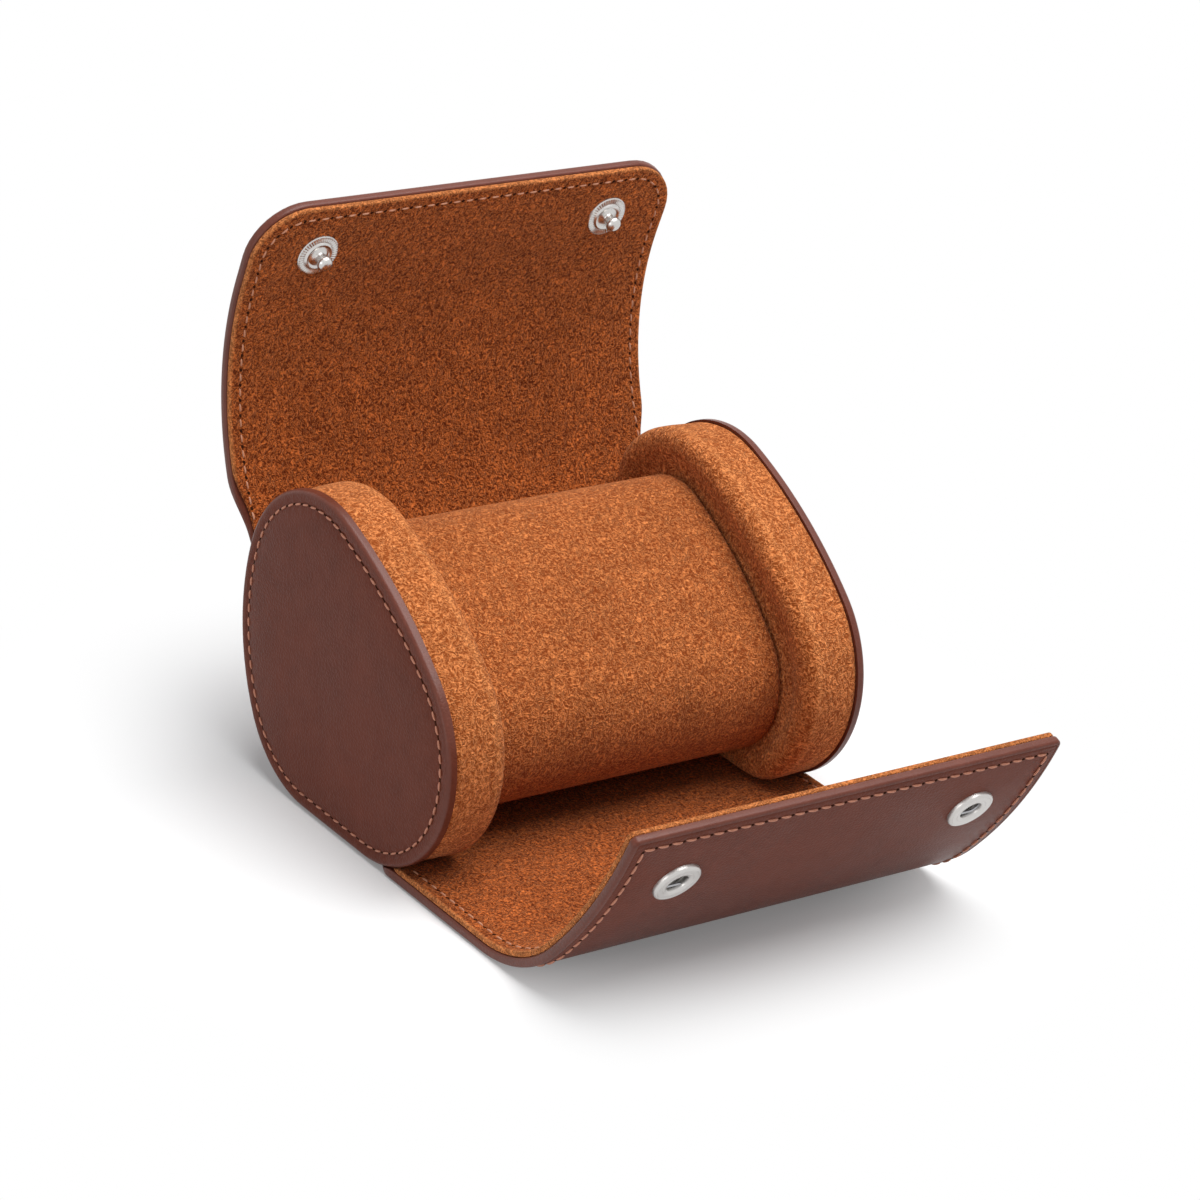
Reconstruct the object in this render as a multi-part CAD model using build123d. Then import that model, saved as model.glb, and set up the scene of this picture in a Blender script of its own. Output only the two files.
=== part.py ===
from build123d import *
import math
import os

# A travel and display roll for one wrist watch. Two end caps stand at the ends of a leather wrap.
# The wrap runs under them and up their backs, and goes on as two flaps: the front flap curls up round
# the nose of the caps, the rear flap comes over the top and lies on it, and two press studs hold them.
# A suede cushion, which the watch is strapped round, is squeezed between the caps and lifts out.
#
# Frame: X along the roll, +Y to the back, +Z up, the origin on the ground under the middle of the caps.
# Sections are drawn in (front, up): front is -Y. The part is written with the case open and the
# cushion in it.

# ---------------------------------------------------------------- driving sizes, in millimetres
ROLL_WIDTH = 105.0            # over the leather faces of the two caps

# the caps' outline: (front, up, radius) of its three rounded corners, and the radii of its long sides
CAP_NOSE = (11.9, 26.7, 26.5)
CAP_TOP = (-13.1, 43.0, 24.9)
CAP_HEEL = (-10.0, 25.4, 25.2)
CAP_SLOPE_RADIUS = 105.0      # the side from the nose up to the top
CAP_BACK_RADIUS = 48.0        # the side from the top down to the heel

# the wrap
LEATHER = 2.0                 # turned leather, measured at the edge
LINING = 1.2                  # suede lining
BOARD = 0.8                   # stiffening board, let into the leather's inner side
RIM_INSET = 0.2               # the caps stand this far inside the wrap's outer face
FLAP_CLEARANCE = 0.25         # between a closed flap and the caps
HINGE_GAP = 0.2               # slit between two bending panels
HEM = 7.0                     # width of leather turned over the board's edge
LINING_SETBACK = 1.0          # from the leather's edge to the lining's
LEATHER_EDGE_ROUND = 0.8
LINING_EDGE_ROUND = 0.4

FRONT_LENGTH = 91.0           # front flap, from its first bend to its tip, along the lining
FRONT_TIP_CORNER = 2.5
REAR_TIP_CORNER = 12.0
REAR_HINGE_HEIGHT = 44.5      # where the rear flap leaves the back of the caps
REAR_LEAN = 129.5             # its heading there, in degrees from straight forward
REAR_CURL_RADIUS = 57.5       # the curl that the open rear flap keeps
REAR_STRAIGHT_ROOT = 3.0      # straight run before the curl
REAR_CURL_LENGTH = 56.4
REAR_ROOT_PANEL = 14.0        # from the rear flap's root to its next bend; three equal panels follow
REAR_UPPER_TURNS = (13.2, 12.2)        # how far its two upper bends turn, in degrees

# the caps, from the outer leather inwards
FACE_LEATHER = 2.1
FACE_EDGE_ROUND = 0.9
FACE_GAP = 0.2                # between the face leather and the wrap's side edge
CAP_BOARD = 1.5
CAP_DEPTH = 13.5              # from the outer face to the suede pad's inner face
SUEDE = 1.2
PAD_EDGE_ROUND = 2.6
PAD_SEAT = 0.2                # from the pad to the lining that it stands on

# the cushion: its own three corners and sides, like the caps' outline
CUSHION_NOSE = (11.2, 24.8, 17.2)
CUSHION_TOP = (-12.6, 43.0, 15.2)
CUSHION_HEEL = (-9.5, 24.8, 17.2)
CUSHION_SLOPE_RADIUS = 95.0
CUSHION_BACK_RADIUS = 38.0
CUSHION_END_GAP = 0.3
CUSHION_END_ROUND = 1.0
CUSHION_FOAM = 5.0
CUSHION_TUBE_WALL = 1.8
CUSHION_END_BOARD = 1.6

# the press studs; the rear flap is as long as it must be for its studs to meet the sockets
SNAP_FROM_SIDE = 16.2         # from the flap's side edge
SOCKET_FROM_TIP = 15.5        # from the front flap's tip
STUD_FROM_TIP = 11.9          # from the rear flap's tip
STUD_FLANGE_RADIUS = 4.75
STUD_FLANGE = 0.4
STUD_RING_RADIUS = 3.0
STUD_RING = 0.6
STUD_NECK_RADIUS = 1.05
STUD_HEAD_RADIUS = 1.7
STUD_HEIGHT = 4.2             # from the lining to the end of the head
STUD_HEAD_HEIGHT = 2.0
STUD_SHANK_RADIUS = 1.5
RIVET_PIN_RADIUS = 0.85
RIVET_RADIUS = 5.0
RIVET_HEIGHT = 1.3
SOCKET_RADIUS = 5.1
SOCKET_PROUD = 0.9
SOCKET_BORE_RADIUS = 2.3
SOCKET_BARREL_RADIUS = 3.3
SOCKET_RIM_ROUND = 0.3
SOCKET_GROOVE_DEPTH = 0.55
SOCKET_GROOVE_WIDTH = 0.66
SOCKET_WASHER_RADIUS = 4.6
SOCKET_WASHER = 0.5
SPRING_WIRE_RADIUS = 0.3
SPRING_OFFSET = 1.55          # from the bore's axis to each wire's
FIT = 0.05                    # radial clearance of metal in metal, and of metal in its hole

# ---------------------------------------------------------------- what follows from them
WRAP = LEATHER + LINING
HALF = ROLL_WIDTH / 2
CAP_INNER = HALF - FACE_LEATHER          # the inner side of the face leather
NARROW_HALF = CAP_INNER - FACE_GAP       # half the wrap's width where the face leather covers its edge
PAD_FACE = HALF - CAP_DEPTH              # the pads' inner faces
CUSHION_HALF = PAD_FACE - CUSHION_END_GAP
SNAP_X = HALF - SNAP_FROM_SIDE
SNAP_GAP = SOCKET_PROUD + STUD_RING + 4 * FIT      # between the two flaps where a stud is pressed home
SECTION = Plane(origin=(0, 0, 0), x_dir=(0, -1, 0), z_dir=(-1, 0, 0))
ACROSS = Vector(-1, 0, 0)


def polar(centre, radius, degrees):
    """The point at this angle round a centre, in (front, up)."""
    angle = math.radians(degrees)
    return (centre[0] + radius * math.cos(angle), centre[1] + radius * math.sin(angle))


def bearing(origin, point):
    """The angle of a point seen from an origin, 0 to 360 degrees."""
    return math.degrees(math.atan2(point[1] - origin[1], point[0] - origin[0])) % 360


def side_centre(first, second, radius):
    """The centre of the arc that runs outside two corner circles and is tangent to both."""
    a = radius - first[2]
    b = radius - second[2]
    d = math.dist(first[:2], second[:2])
    along = (a * a - b * b + d * d) / (2 * d)
    off = math.sqrt(a * a - along * along)
    u = ((second[0] - first[0]) / d, (second[1] - first[1]) / d)
    return (first[0] + u[0] * along - u[1] * off, first[1] + u[1] * along + u[0] * off)


def outline(nose, top, heel, slope_radius, back_radius, inset):
    """A rounded triangle with a flat bottom, as a face in (front, up), moved inwards by inset."""
    slope = side_centre(nose, top, slope_radius)
    back = side_centre(top, heel, back_radius)
    nose_end = bearing(slope, nose)
    top_start = bearing(slope, top)
    top_end = bearing(back, top)
    heel_start = bearing(back, heel)
    floor = math.degrees(math.asin((nose[1] - nose[2] - heel[1] + heel[2]) / (nose[0] - heel[0])))
    down = 270 + floor

    def arc(centre, radius, start, end):
        middle = (start + end) / 2
        return ThreePointArc(*(polar(centre, radius - inset, angle) for angle in (start, middle, end)))

    edges = [
        arc(nose, nose[2], down - 360, nose_end),
        arc(slope, slope_radius, nose_end, top_start),
        arc(top, top[2], top_start, top_end),
        arc(back, back_radius, top_end, heel_start),
        arc(heel, heel[2], heel_start, down),
        Line(polar(heel, heel[2] - inset, down), polar(nose, nose[2] - inset, down)),
    ]
    return Face(Wire(edges))


def cap_outline(inset):
    return outline(CAP_NOSE, CAP_TOP, CAP_HEEL, CAP_SLOPE_RADIUS, CAP_BACK_RADIUS, inset)


def cushion_outline(inset):
    return outline(CUSHION_NOSE, CUSHION_TOP, CUSHION_HEEL, CUSHION_SLOPE_RADIUS, CUSHION_BACK_RADIUS, inset)


class Strip:
    """A bent strip in section, followed along its inner face.

    runs holds (length, radius) pairs: the radius is that of the inner face, and None is straight.
    The strip curls towards its inner side: anticlockwise in (front, up) if curl is 1, clockwise if -1.
    """

    def __init__(self, start, heading, runs, curl):
        self.curl = curl
        self.runs = []
        s = 0.0
        for length, radius in runs:
            self.runs.append((s, start, heading, length, radius))
            start, heading = self._along(start, heading, radius, length)
            s += length
        self.length = s

    def _along(self, start, heading, radius, distance):
        if radius is None:
            return polar(start, distance, heading), heading
        turn = self.curl * math.degrees(distance / radius)
        centre = polar(start, radius, heading + self.curl * 90)
        return polar(centre, radius, heading - self.curl * 90 + turn), heading + turn

    def place(self, s):
        """The point and the heading at a distance along the inner face."""
        run = self.runs[0]
        for candidate in self.runs:
            if candidate[0] <= s + 1e-9:
                run = candidate
        return self._along(run[1], run[2], run[4], s - run[0])

    def point(self, s, depth):
        """The point at a distance along the strip and a depth into it from the inner face."""
        inner, heading = self.place(s)
        return polar(inner, depth, heading - self.curl * 90)

    def face(self, start, end, shallow, deep):
        """The strip's section from start to end, between two depths."""
        stops = [start] + [run[0] for run in self.runs if start + 1e-6 < run[0] < end - 1e-6] + [end]
        pairs = list(zip(stops[:-1], stops[1:]))
        edges = [self._edge(a, b, shallow) for a, b in pairs]
        edges.append(Line(self.point(end, shallow), self.point(end, deep)))
        edges += [self._edge(b, a, deep) for a, b in reversed(pairs)]
        edges.append(Line(self.point(start, deep), self.point(start, shallow)))
        return Face(Wire(edges))

    def _edge(self, a, b, depth):
        middle = (a + b) / 2
        first, centre, last = self.point(a, depth), self.point(middle, depth), self.point(b, depth)
        chord = math.dist(first, last)
        sag = math.dist(centre, ((first[0] + last[0]) / 2, (first[1] + last[1]) / 2))
        if sag < 1e-6 * chord:
            return Line(first, last)
        return ThreePointArc(first, centre, last)


def across(face, half):
    """A section pulled out to both sides of the middle."""
    return extrude(SECTION * face, amount=half, both=True)


def slab(face, low, high):
    """A section pulled out from x = low to x = high."""
    return extrude(Pos(high, 0, 0) * (SECTION * face), amount=high - low, dir=ACROSS)


def turned(shape, pivot, degrees):
    """A shape turned about an axis across the roll, anticlockwise in (front, up)."""
    return shape.rotate(Axis((0, -pivot[0], pivot[1]), ACROSS), degrees)


def both_sides(right):
    """The right-hand piece, at +X, and its mirror image on the left."""
    return {"right": right, "left": right.mirror(Plane.YZ)}


# ---------------------------------------------------------------- the wrap's three strips
def back_seat():
    """The point on the wrap's inner face where the rear flap leaves it, and the angle there."""
    centre = side_centre(CAP_TOP, CAP_HEEL, CAP_BACK_RADIUS)
    radius = CAP_BACK_RADIUS + RIM_INSET - WRAP
    angle = 180 - math.degrees(math.asin((REAR_HINGE_HEIGHT - centre[1]) / radius))
    return polar(centre, radius, angle), angle


def front_root():
    """The first bend of the front flap, where the caps' nose leaves the lining, and the slope there."""
    reach = CAP_NOSE[2] + FLAP_CLEARANCE
    drop = CAP_NOSE[1] - WRAP
    return (CAP_NOSE[0] + math.sqrt(reach * reach - drop * drop), WRAP), math.degrees(math.acos(drop / reach))


REAR_ROOT, REAR_ROOT_ANGLE = back_seat()
FRONT_ROOT, NOSE_SLOPE = front_root()


def base_strip():
    """The fixed stretch: down the back of the caps, round the heel and forward along the ground."""
    inset = WRAP - RIM_INSET
    back = side_centre(CAP_TOP, CAP_HEEL, CAP_BACK_RADIUS)
    heel_start = bearing(back, CAP_HEEL)
    back_radius = CAP_BACK_RADIUS - inset
    heel_radius = CAP_HEEL[2] - inset
    return Strip(
        REAR_ROOT,
        REAR_ROOT_ANGLE + 90,
        [
            (back_radius * math.radians(heel_start - REAR_ROOT_ANGLE), back_radius),
            (heel_radius * math.radians(270 - heel_start), heel_radius),
            (FRONT_ROOT[0] - CAP_HEEL[0], None),
        ],
        1,
    )


def front_strip():
    """The front flap: flat on the ground, then curled as the caps' nose and slope are."""
    rise = NOSE_TURN / 2
    nose_radius = CAP_NOSE[2] + FLAP_CLEARANCE
    tangent = nose_radius * math.tan(math.radians(rise))
    slope = side_centre(CAP_NOSE, CAP_TOP, CAP_SLOPE_RADIUS)
    flat = 4 * tangent
    nose = nose_radius * math.radians(bearing(slope, CAP_NOSE))
    runs = [(flat, None), (nose, nose_radius), (FRONT_LENGTH - flat - nose, CAP_SLOPE_RADIUS + FLAP_CLEARANCE)]
    return Strip(FRONT_ROOT, 0, runs, 1), (0.0, tangent, 3 * tangent)


NOSE_TURN = (90 - NOSE_SLOPE) / 2     # each of the two bends that follow the first turns by this
FRONT_CLOSING = (NOSE_SLOPE, NOSE_TURN, NOSE_TURN)
BASE = base_strip()
FRONT, FRONT_BENDS = front_strip()


def closed(strip, bends, turns, s, depth):
    """Where a point of a flap is when its bends are turned, and the flap's heading there."""
    point = strip.point(s, depth)
    heading = strip.place(s)[1]
    for bend, turn in reversed(list(zip(bends, turns))):
        if bend <= s:
            pivot = strip.point(bend, 0)
            point = polar(pivot, math.dist(pivot, point), bearing(pivot, point) + strip.curl * turn)
            heading += strip.curl * turn
    return point, heading


def rear_strip(length):
    """The rear flap at this length, and where its bends are: a root panel and three equal ones."""
    straight = length - REAR_STRAIGHT_ROOT - REAR_CURL_LENGTH
    runs = [(REAR_STRAIGHT_ROOT, None), (REAR_CURL_LENGTH, REAR_CURL_RADIUS), (straight, None)]
    panel = (length - REAR_ROOT_PANEL) / 3
    bends = (0.0, REAR_ROOT_PANEL, REAR_ROOT_PANEL + panel, REAR_ROOT_PANEL + 2 * panel)
    return Strip(REAR_ROOT, REAR_LEAN, runs, -1), bends


def closing(length):
    """The rear flap's four turns at this length, and where a stud must be to meet its socket squarely."""
    strip, bends = rear_strip(length)
    target, heading = closed(FRONT, FRONT_BENDS, FRONT_CLOSING, FRONT_LENGTH - SOCKET_FROM_TIP, WRAP)
    out = heading - 90
    total = strip.place(length)[1] - (heading - 180)
    low, high = 0.0, total / 2
    for _ in range(50):
        first = (low + high) / 2
        turns = (first, total - first - sum(REAR_UPPER_TURNS)) + REAR_UPPER_TURNS
        tip = closed(strip, bends, turns, length, 0)[0]
        offset = math.dist(target, tip)
        lean = math.radians(bearing(target, tip) - out)
        if offset * math.cos(lean) < SNAP_GAP:
            low = first
        else:
            high = first
    return turns, length + offset * math.sin(lean)


REAR_LENGTH = REAR_STRAIGHT_ROOT + REAR_CURL_LENGTH + 2 * STUD_FROM_TIP
for _ in range(40):
    REAR_LENGTH = closing(REAR_LENGTH)[1] + STUD_FROM_TIP
REAR, REAR_BENDS = rear_strip(REAR_LENGTH)
REAR_CLOSING = closing(REAR_LENGTH)[0]


def ends_of(strip, start, end):
    """The middles of a panel's two end edges, in (front, up)."""
    middle = LINING + LEATHER / 2
    return [strip.point(start, middle), strip.point(end, middle)]


def along_side(panel, strip, start, end, half):
    """The panel's edges at its two sides, without the short ones across its ends."""
    ends = ends_of(strip, start, end)
    chosen = []
    for edge in panel.edges():
        centre = edge.center()
        at_side = abs(abs(centre.X) - half) < 1e-4 and abs((edge @ 0).X - (edge @ 1).X) < 1e-4
        if at_side and min(math.dist((-centre.Y, centre.Z), end_point) for end_point in ends) > LEATHER / 4:
            chosen.append(edge)
    return chosen


def leather_panel(strip, start, end):
    """A stretch of the wrap's leather at full width, with its two turned side edges rounded."""
    panel = across(strip.face(start, end, LINING, WRAP), HALF)
    return fillet(along_side(panel, strip, start, end, HALF), LEATHER_EDGE_ROUND)


def corner_edges(panel, tip):
    """The two edges of a flap's panel that run through its thickness at the tip's corners."""
    chosen = []
    for edge in panel.edges():
        centre = edge.center()
        through = abs((edge @ 0).X - (edge @ 1).X) < 1e-4 and edge.length < WRAP
        if through and math.dist((-centre.Y, centre.Z), tip) < WRAP / 2:
            chosen.append(edge)
    return chosen


def rounded_tip(strip, start, half, shallow, deep, corner, setback):
    """The last panel of a flap, with its two corners rounded in plan."""
    end = strip.length - setback
    panel = across(strip.face(start, end, shallow, deep), half)
    return fillet(corner_edges(panel, strip.point(end, (shallow + deep) / 2)), corner - setback)


def rim_edges(panel, strip, start):
    """The edges round a tip panel's sides and tip, on both faces."""
    root = strip.point(start, LINING + LEATHER / 2)
    chosen = []
    for edge in panel.edges():
        centre = edge.center()
        at_root = math.dist((-centre.Y, centre.Z), root) < LEATHER
        through = edge.length < 1.05 * LEATHER
        if not at_root and not through:
            chosen.append(edge)
    return chosen


def leather_tip(strip, start, corner):
    """The last stretch of a flap's leather, with its turned edge rounded all round."""
    panel = rounded_tip(strip, start, HALF, LINING, WRAP, corner, 0)
    return fillet(rim_edges(panel, strip, start), LEATHER_EDGE_ROUND)


def lining_panel(strip, start, end):
    """A stretch of suede lining, set back from the leather's edge."""
    return across(strip.face(start, end, 0, LINING - FIT), HALF - LINING_SETBACK)


def lining_tip(strip, start, corner):
    return rounded_tip(strip, start, HALF - LINING_SETBACK, 0, LINING - FIT, corner, LINING_SETBACK)


def board_recess(strip, start, end, half):
    """What is cut from a panel's leather for its board."""
    return across(strip.face(start, end, LINING - 1, LINING + BOARD), half)


def board(strip, start, end, half):
    """The stiffening board in such a recess."""
    return across(strip.face(start + FIT, end - FIT, LINING + FIT, LINING + BOARD - FIT), half - FIT)


def beyond(point, degrees, shift):
    """What lies to the left of a line through a point, moved by shift to the left first."""
    size = 6 * WRAP
    base = polar(point, shift, degrees + 90)
    near, far = polar(base, -size, degrees), polar(base, size, degrees)
    corners = [near, far, polar(far, size, degrees + 90), polar(near, size, degrees + 90)]
    return across(Face(Wire(Polyline(*corners, close=True).edges())), ROLL_WIDTH)


# ---------------------------------------------------------------- the end caps
def cap_clearance(setback=0.0):
    """Room for both caps' face leather, taken from what passes beside them."""
    right = slab(cap_outline(-FLAP_CLEARANCE - setback), NARROW_HALF - setback, HALF + 5)
    return right + right.mirror(Plane.YZ)


def wrap_room(spread, low, high):
    """What the wrap takes from a cap: its fixed stretch and the closed rear flap's root."""
    fixed = slab(BASE.face(-2 * WRAP, BASE.length + CAP_NOSE[2], -spread, 3 * WRAP), low, high)
    root = slab(REAR.face(-2 * WRAP, REAR_BENDS[1] + WRAP, -spread - FIT, 3 * WRAP), low, high)
    return fixed + turned(root, REAR_ROOT, -REAR_CLOSING[0])


def rim_at(solid, x):
    """The edges of a solid's flat face at this x."""
    return [edge for edge in solid.edges() if abs((edge @ 0).X - x) < 1e-4 and abs((edge @ 0.5).X - x) < 1e-4]


def cap_pad(inset, low, high, rounding=0.0):
    """A cap's padded body between two planes, clear of the wrap, on the right of the roll."""
    body = slab(cap_outline(RIM_INSET + inset), low, high)
    if rounding:
        body = fillet(rim_at(body, low), rounding)
    return body - wrap_room(PAD_SEAT + inset, low - 1, high + 1)


SUEDE_LIP = PAD_FACE + SUEDE
BOARD_INNER = CAP_INNER - CAP_BOARD


def cap_face():
    """The leather disc over the end of a cap, with its turned rim."""
    disc = slab(cap_outline(0), CAP_INNER, HALF)
    return fillet(rim_at(disc, HALF), FACE_EDGE_ROUND)


def cap_suede():
    """The suede over the cap's padding: a tray with a well-rounded inner edge."""
    tray = cap_pad(0, PAD_FACE, CAP_INNER, PAD_EDGE_ROUND)
    return tray - cap_pad(SUEDE, SUEDE_LIP, CAP_INNER + 1, PAD_EDGE_ROUND - SUEDE)


# ---------------------------------------------------------------- the press studs
class Seat:
    """A place on a flap: metal parts are drawn in (radius, height) and turned round its axis.

    The height is measured out of the face that the part stands on.
    """

    def __init__(self, strip, s, depth, outward):
        point = strip.point(s, depth)
        heading = strip.place(s)[1]
        out = heading + strip.curl * 90 * (1 if outward == "inner" else -1)
        normal = Vector(0, -math.cos(math.radians(out)), math.sin(math.radians(out)))
        self.plane = Plane(origin=(SNAP_X, -point[0], point[1]), x_dir=(1, 0, 0), z_dir=normal)

    def bore(self, radius, low, high):
        return self.plane * (Pos(0, 0, low) * extrude(Circle(radius), amount=high - low))


def lathe(profile):
    """A solid of revolution from (radius, height) points."""
    face = Face(Wire(Polyline(*[(r, 0, h) for r, h in profile], close=True).edges()))
    return revolve(face, Axis.Z)


STUD_SEAT = Seat(REAR, REAR_LENGTH - STUD_FROM_TIP, 0, "inner")
RIVET_SEAT = Seat(REAR, REAR_LENGTH - STUD_FROM_TIP, WRAP, "outer")
SOCKET_SEAT = Seat(FRONT, FRONT_LENGTH - SOCKET_FROM_TIP, WRAP, "outer")
WASHER_SEAT = Seat(FRONT, FRONT_LENGTH - SOCKET_FROM_TIP, 0, "inner")

# a flat ring on a curved flap beds into it by the arc's rise over the ring
SOCKET_BED = SOCKET_RADIUS ** 2 / (2 * (CAP_SLOPE_RADIUS + FLAP_CLEARANCE + WRAP)) + FIT
WASHER_BED = SOCKET_WASHER + SOCKET_WASHER_RADIUS ** 2 / (2 * (CAP_SLOPE_RADIUS + FLAP_CLEARANCE)) - FIT
SHANK_END = -WRAP + FIT


def circle_edges(solid, radius):
    """The circular edges of this radius."""
    return [edge for edge in solid.edges() if edge.geom_type == GeomType.CIRCLE and abs(edge.radius - radius) < 1e-4]


def stud():
    """The stud: flange, raised ring, neck and rounded head, on a hollow shank through the flap."""
    head_foot = STUD_HEIGHT - STUD_HEAD_HEIGHT
    body = lathe([
        (0, SHANK_END),
        (STUD_SHANK_RADIUS, SHANK_END),
        (STUD_SHANK_RADIUS, 0),
        (STUD_FLANGE_RADIUS, 0),
        (STUD_FLANGE_RADIUS, STUD_FLANGE),
        (STUD_RING_RADIUS + STUD_RING - STUD_FLANGE, STUD_FLANGE),
        (STUD_RING_RADIUS, STUD_RING),
        (STUD_NECK_RADIUS + STUD_RING, STUD_RING),
        (STUD_NECK_RADIUS, 2 * STUD_RING),
        (STUD_NECK_RADIUS, head_foot),
        (STUD_HEAD_RADIUS, head_foot),
        (STUD_HEAD_RADIUS, STUD_HEIGHT),
        (0, STUD_HEIGHT),
    ])
    under = min(circle_edges(body, STUD_HEAD_RADIUS), key=lambda edge: edge.center().Z)
    body = fillet(under, (STUD_HEAD_RADIUS - STUD_NECK_RADIUS) * 0.6)
    over = max(circle_edges(body, STUD_HEAD_RADIUS), key=lambda edge: edge.center().Z)
    body = fillet(over, STUD_HEAD_HEIGHT * 0.55)
    return STUD_SEAT.plane * body - STUD_SEAT.bore(RIVET_PIN_RADIUS + FIT, SHANK_END - 1, 0)


def stud_cap():
    """The domed cap on the leather side, with the pin that goes up the stud's shank."""
    shoulder = RIVET_HEIGHT * 0.3
    rise = RIVET_HEIGHT - shoulder
    radius = (RIVET_RADIUS ** 2 + rise ** 2) / (2 * rise)
    dome = ThreePointArc(
        (RIVET_RADIUS, 0, shoulder),
        (RIVET_RADIUS / 2, 0, RIVET_HEIGHT - radius + math.sqrt(radius ** 2 - RIVET_RADIUS ** 2 / 4)),
        (0, 0, RIVET_HEIGHT),
    )
    sides = Polyline((0, 0, RIVET_HEIGHT), (0, 0, 0), (RIVET_RADIUS, 0, 0), (RIVET_RADIUS, 0, shoulder))
    cap = revolve(Face(Wire([dome] + list(sides.edges()))), Axis.Z)
    return RIVET_SEAT.plane * cap + RIVET_SEAT.bore(RIVET_PIN_RADIUS, -WRAP + 2 * FIT, 0)


def socket():
    """The socket: a proud ring, a barrel through the flap and a groove for the spring."""
    barrel_foot = -WRAP + WASHER_BED
    groove = -STUD_HEIGHT + STUD_HEAD_HEIGHT + SNAP_GAP + SPRING_WIRE_RADIUS + 2 * FIT
    half_groove = SOCKET_GROOVE_WIDTH / 2
    ring = lathe([
        (SOCKET_BORE_RADIUS, barrel_foot),
        (SOCKET_BARREL_RADIUS, barrel_foot),
        (SOCKET_BARREL_RADIUS, -SOCKET_BED),
        (SOCKET_RADIUS, -SOCKET_BED),
        (SOCKET_RADIUS, SOCKET_PROUD - SOCKET_RIM_ROUND),
        (SOCKET_RADIUS - SOCKET_RIM_ROUND, SOCKET_PROUD),
        (SOCKET_BORE_RADIUS + SOCKET_RIM_ROUND, SOCKET_PROUD),
        (SOCKET_BORE_RADIUS, SOCKET_PROUD - SOCKET_RIM_ROUND),
        (SOCKET_BORE_RADIUS, groove + half_groove),
        (SOCKET_BORE_RADIUS + SOCKET_GROOVE_DEPTH, groove + half_groove),
        (SOCKET_BORE_RADIUS + SOCKET_GROOVE_DEPTH, groove - half_groove),
        (SOCKET_BORE_RADIUS, groove - half_groove),
    ])
    return SOCKET_SEAT.plane * ring


def socket_spring():
    """The hairpin spring whose two legs close behind the stud's head."""
    groove = -STUD_HEIGHT + STUD_HEAD_HEIGHT + SNAP_GAP + SPRING_WIRE_RADIUS + 2 * FIT
    reach = SOCKET_BORE_RADIUS + SOCKET_GROOVE_DEPTH - SPRING_WIRE_RADIUS - FIT
    bend = reach - SPRING_OFFSET
    foot = -math.sqrt(reach ** 2 - (SPRING_OFFSET + SPRING_WIRE_RADIUS) ** 2)
    path = Wire([
        Line((foot, SPRING_OFFSET, groove), (bend, SPRING_OFFSET, groove)),
        ThreePointArc((bend, SPRING_OFFSET, groove), (reach, 0, groove), (bend, -SPRING_OFFSET, groove)),
        Line((bend, -SPRING_OFFSET, groove), (foot, -SPRING_OFFSET, groove)),
    ])
    wire = Plane(origin=(foot, SPRING_OFFSET, groove), z_dir=(1, 0, 0)) * Circle(SPRING_WIRE_RADIUS)
    return SOCKET_SEAT.plane * sweep(wire, path)


def socket_washer():
    """The washer that clenches the barrel, let into the lining."""
    washer = WASHER_SEAT.bore(SOCKET_WASHER_RADIUS, -WASHER_BED, SOCKET_WASHER - WASHER_BED)
    return washer


def both(tool):
    return tool + tool.mirror(Plane.YZ)


def stud_holes():
    return both(STUD_SEAT.bore(STUD_SHANK_RADIUS + FIT, -2 * WRAP, WRAP))


def socket_holes():
    """The holes, and the beds of the flat rings on the flap's two curved faces."""
    holes = SOCKET_SEAT.bore(SOCKET_BARREL_RADIUS + FIT, -2 * WRAP, WRAP)
    holes += SOCKET_SEAT.bore(SOCKET_RADIUS + FIT, -SOCKET_BED, WRAP)
    holes += WASHER_SEAT.bore(SOCKET_WASHER_RADIUS + FIT, -WASHER_BED, WRAP)
    return both(holes)


# ---------------------------------------------------------------- the whole case
PIECES = {}
HALF_GAP = HINGE_GAP / 2
ROOM = cap_clearance()
LINING_ROOM = cap_clearance(LINING_SETBACK)

# the fixed stretch of the wrap, mitred where the open rear flap leans on it
MITRE = (REAR_ROOT_ANGLE + REAR_LEAN + 90) / 2
above_mitre = beyond(REAR_ROOT, MITRE + 180, -HALF_GAP)
below_mitre = beyond(REAR_ROOT, MITRE, -HALF_GAP)
base_end = BASE.length - HALF_GAP
flat_start = BASE.runs[2][0]
heel_start = BASE.runs[1][0]
base_boards = {
    "wrap_back_board": (HEM, heel_start),
    "wrap_base_board": (flat_start, base_end - HEM),
}
base_leather = leather_panel(BASE, 0, base_end) - ROOM - above_mitre
for name, (start, end) in base_boards.items():
    base_leather -= board_recess(BASE, start, end, NARROW_HALF - HEM)
    PIECES[name] = board(BASE, start, end, NARROW_HALF - HEM)
PIECES["wrap_base_leather"] = base_leather
PIECES["wrap_base_lining"] = lining_panel(BASE, 0, base_end) - LINING_ROOM - above_mitre

# the front flap
names = ("front_flap_root", "front_flap_bend", "front_flap")
for index, name in enumerate(names):
    start = FRONT_BENDS[index] + HALF_GAP
    if index < 2:
        end = FRONT_BENDS[index + 1] - HALF_GAP
        PIECES[name + "_leather"] = leather_panel(FRONT, start, end)
        PIECES[name + "_lining"] = lining_panel(FRONT, start, end)
    else:
        holes = socket_holes()
        first, last = start + HEM, FRONT.length - HEM
        recess = board_recess(FRONT, first, last, HALF - HEM)
        PIECES[name + "_leather"] = leather_tip(FRONT, start, FRONT_TIP_CORNER) - recess - holes
        PIECES[name + "_board"] = board(FRONT, first, last, HALF - HEM) - holes
        PIECES[name + "_lining"] = lining_tip(FRONT, start, FRONT_TIP_CORNER) - holes

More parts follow.
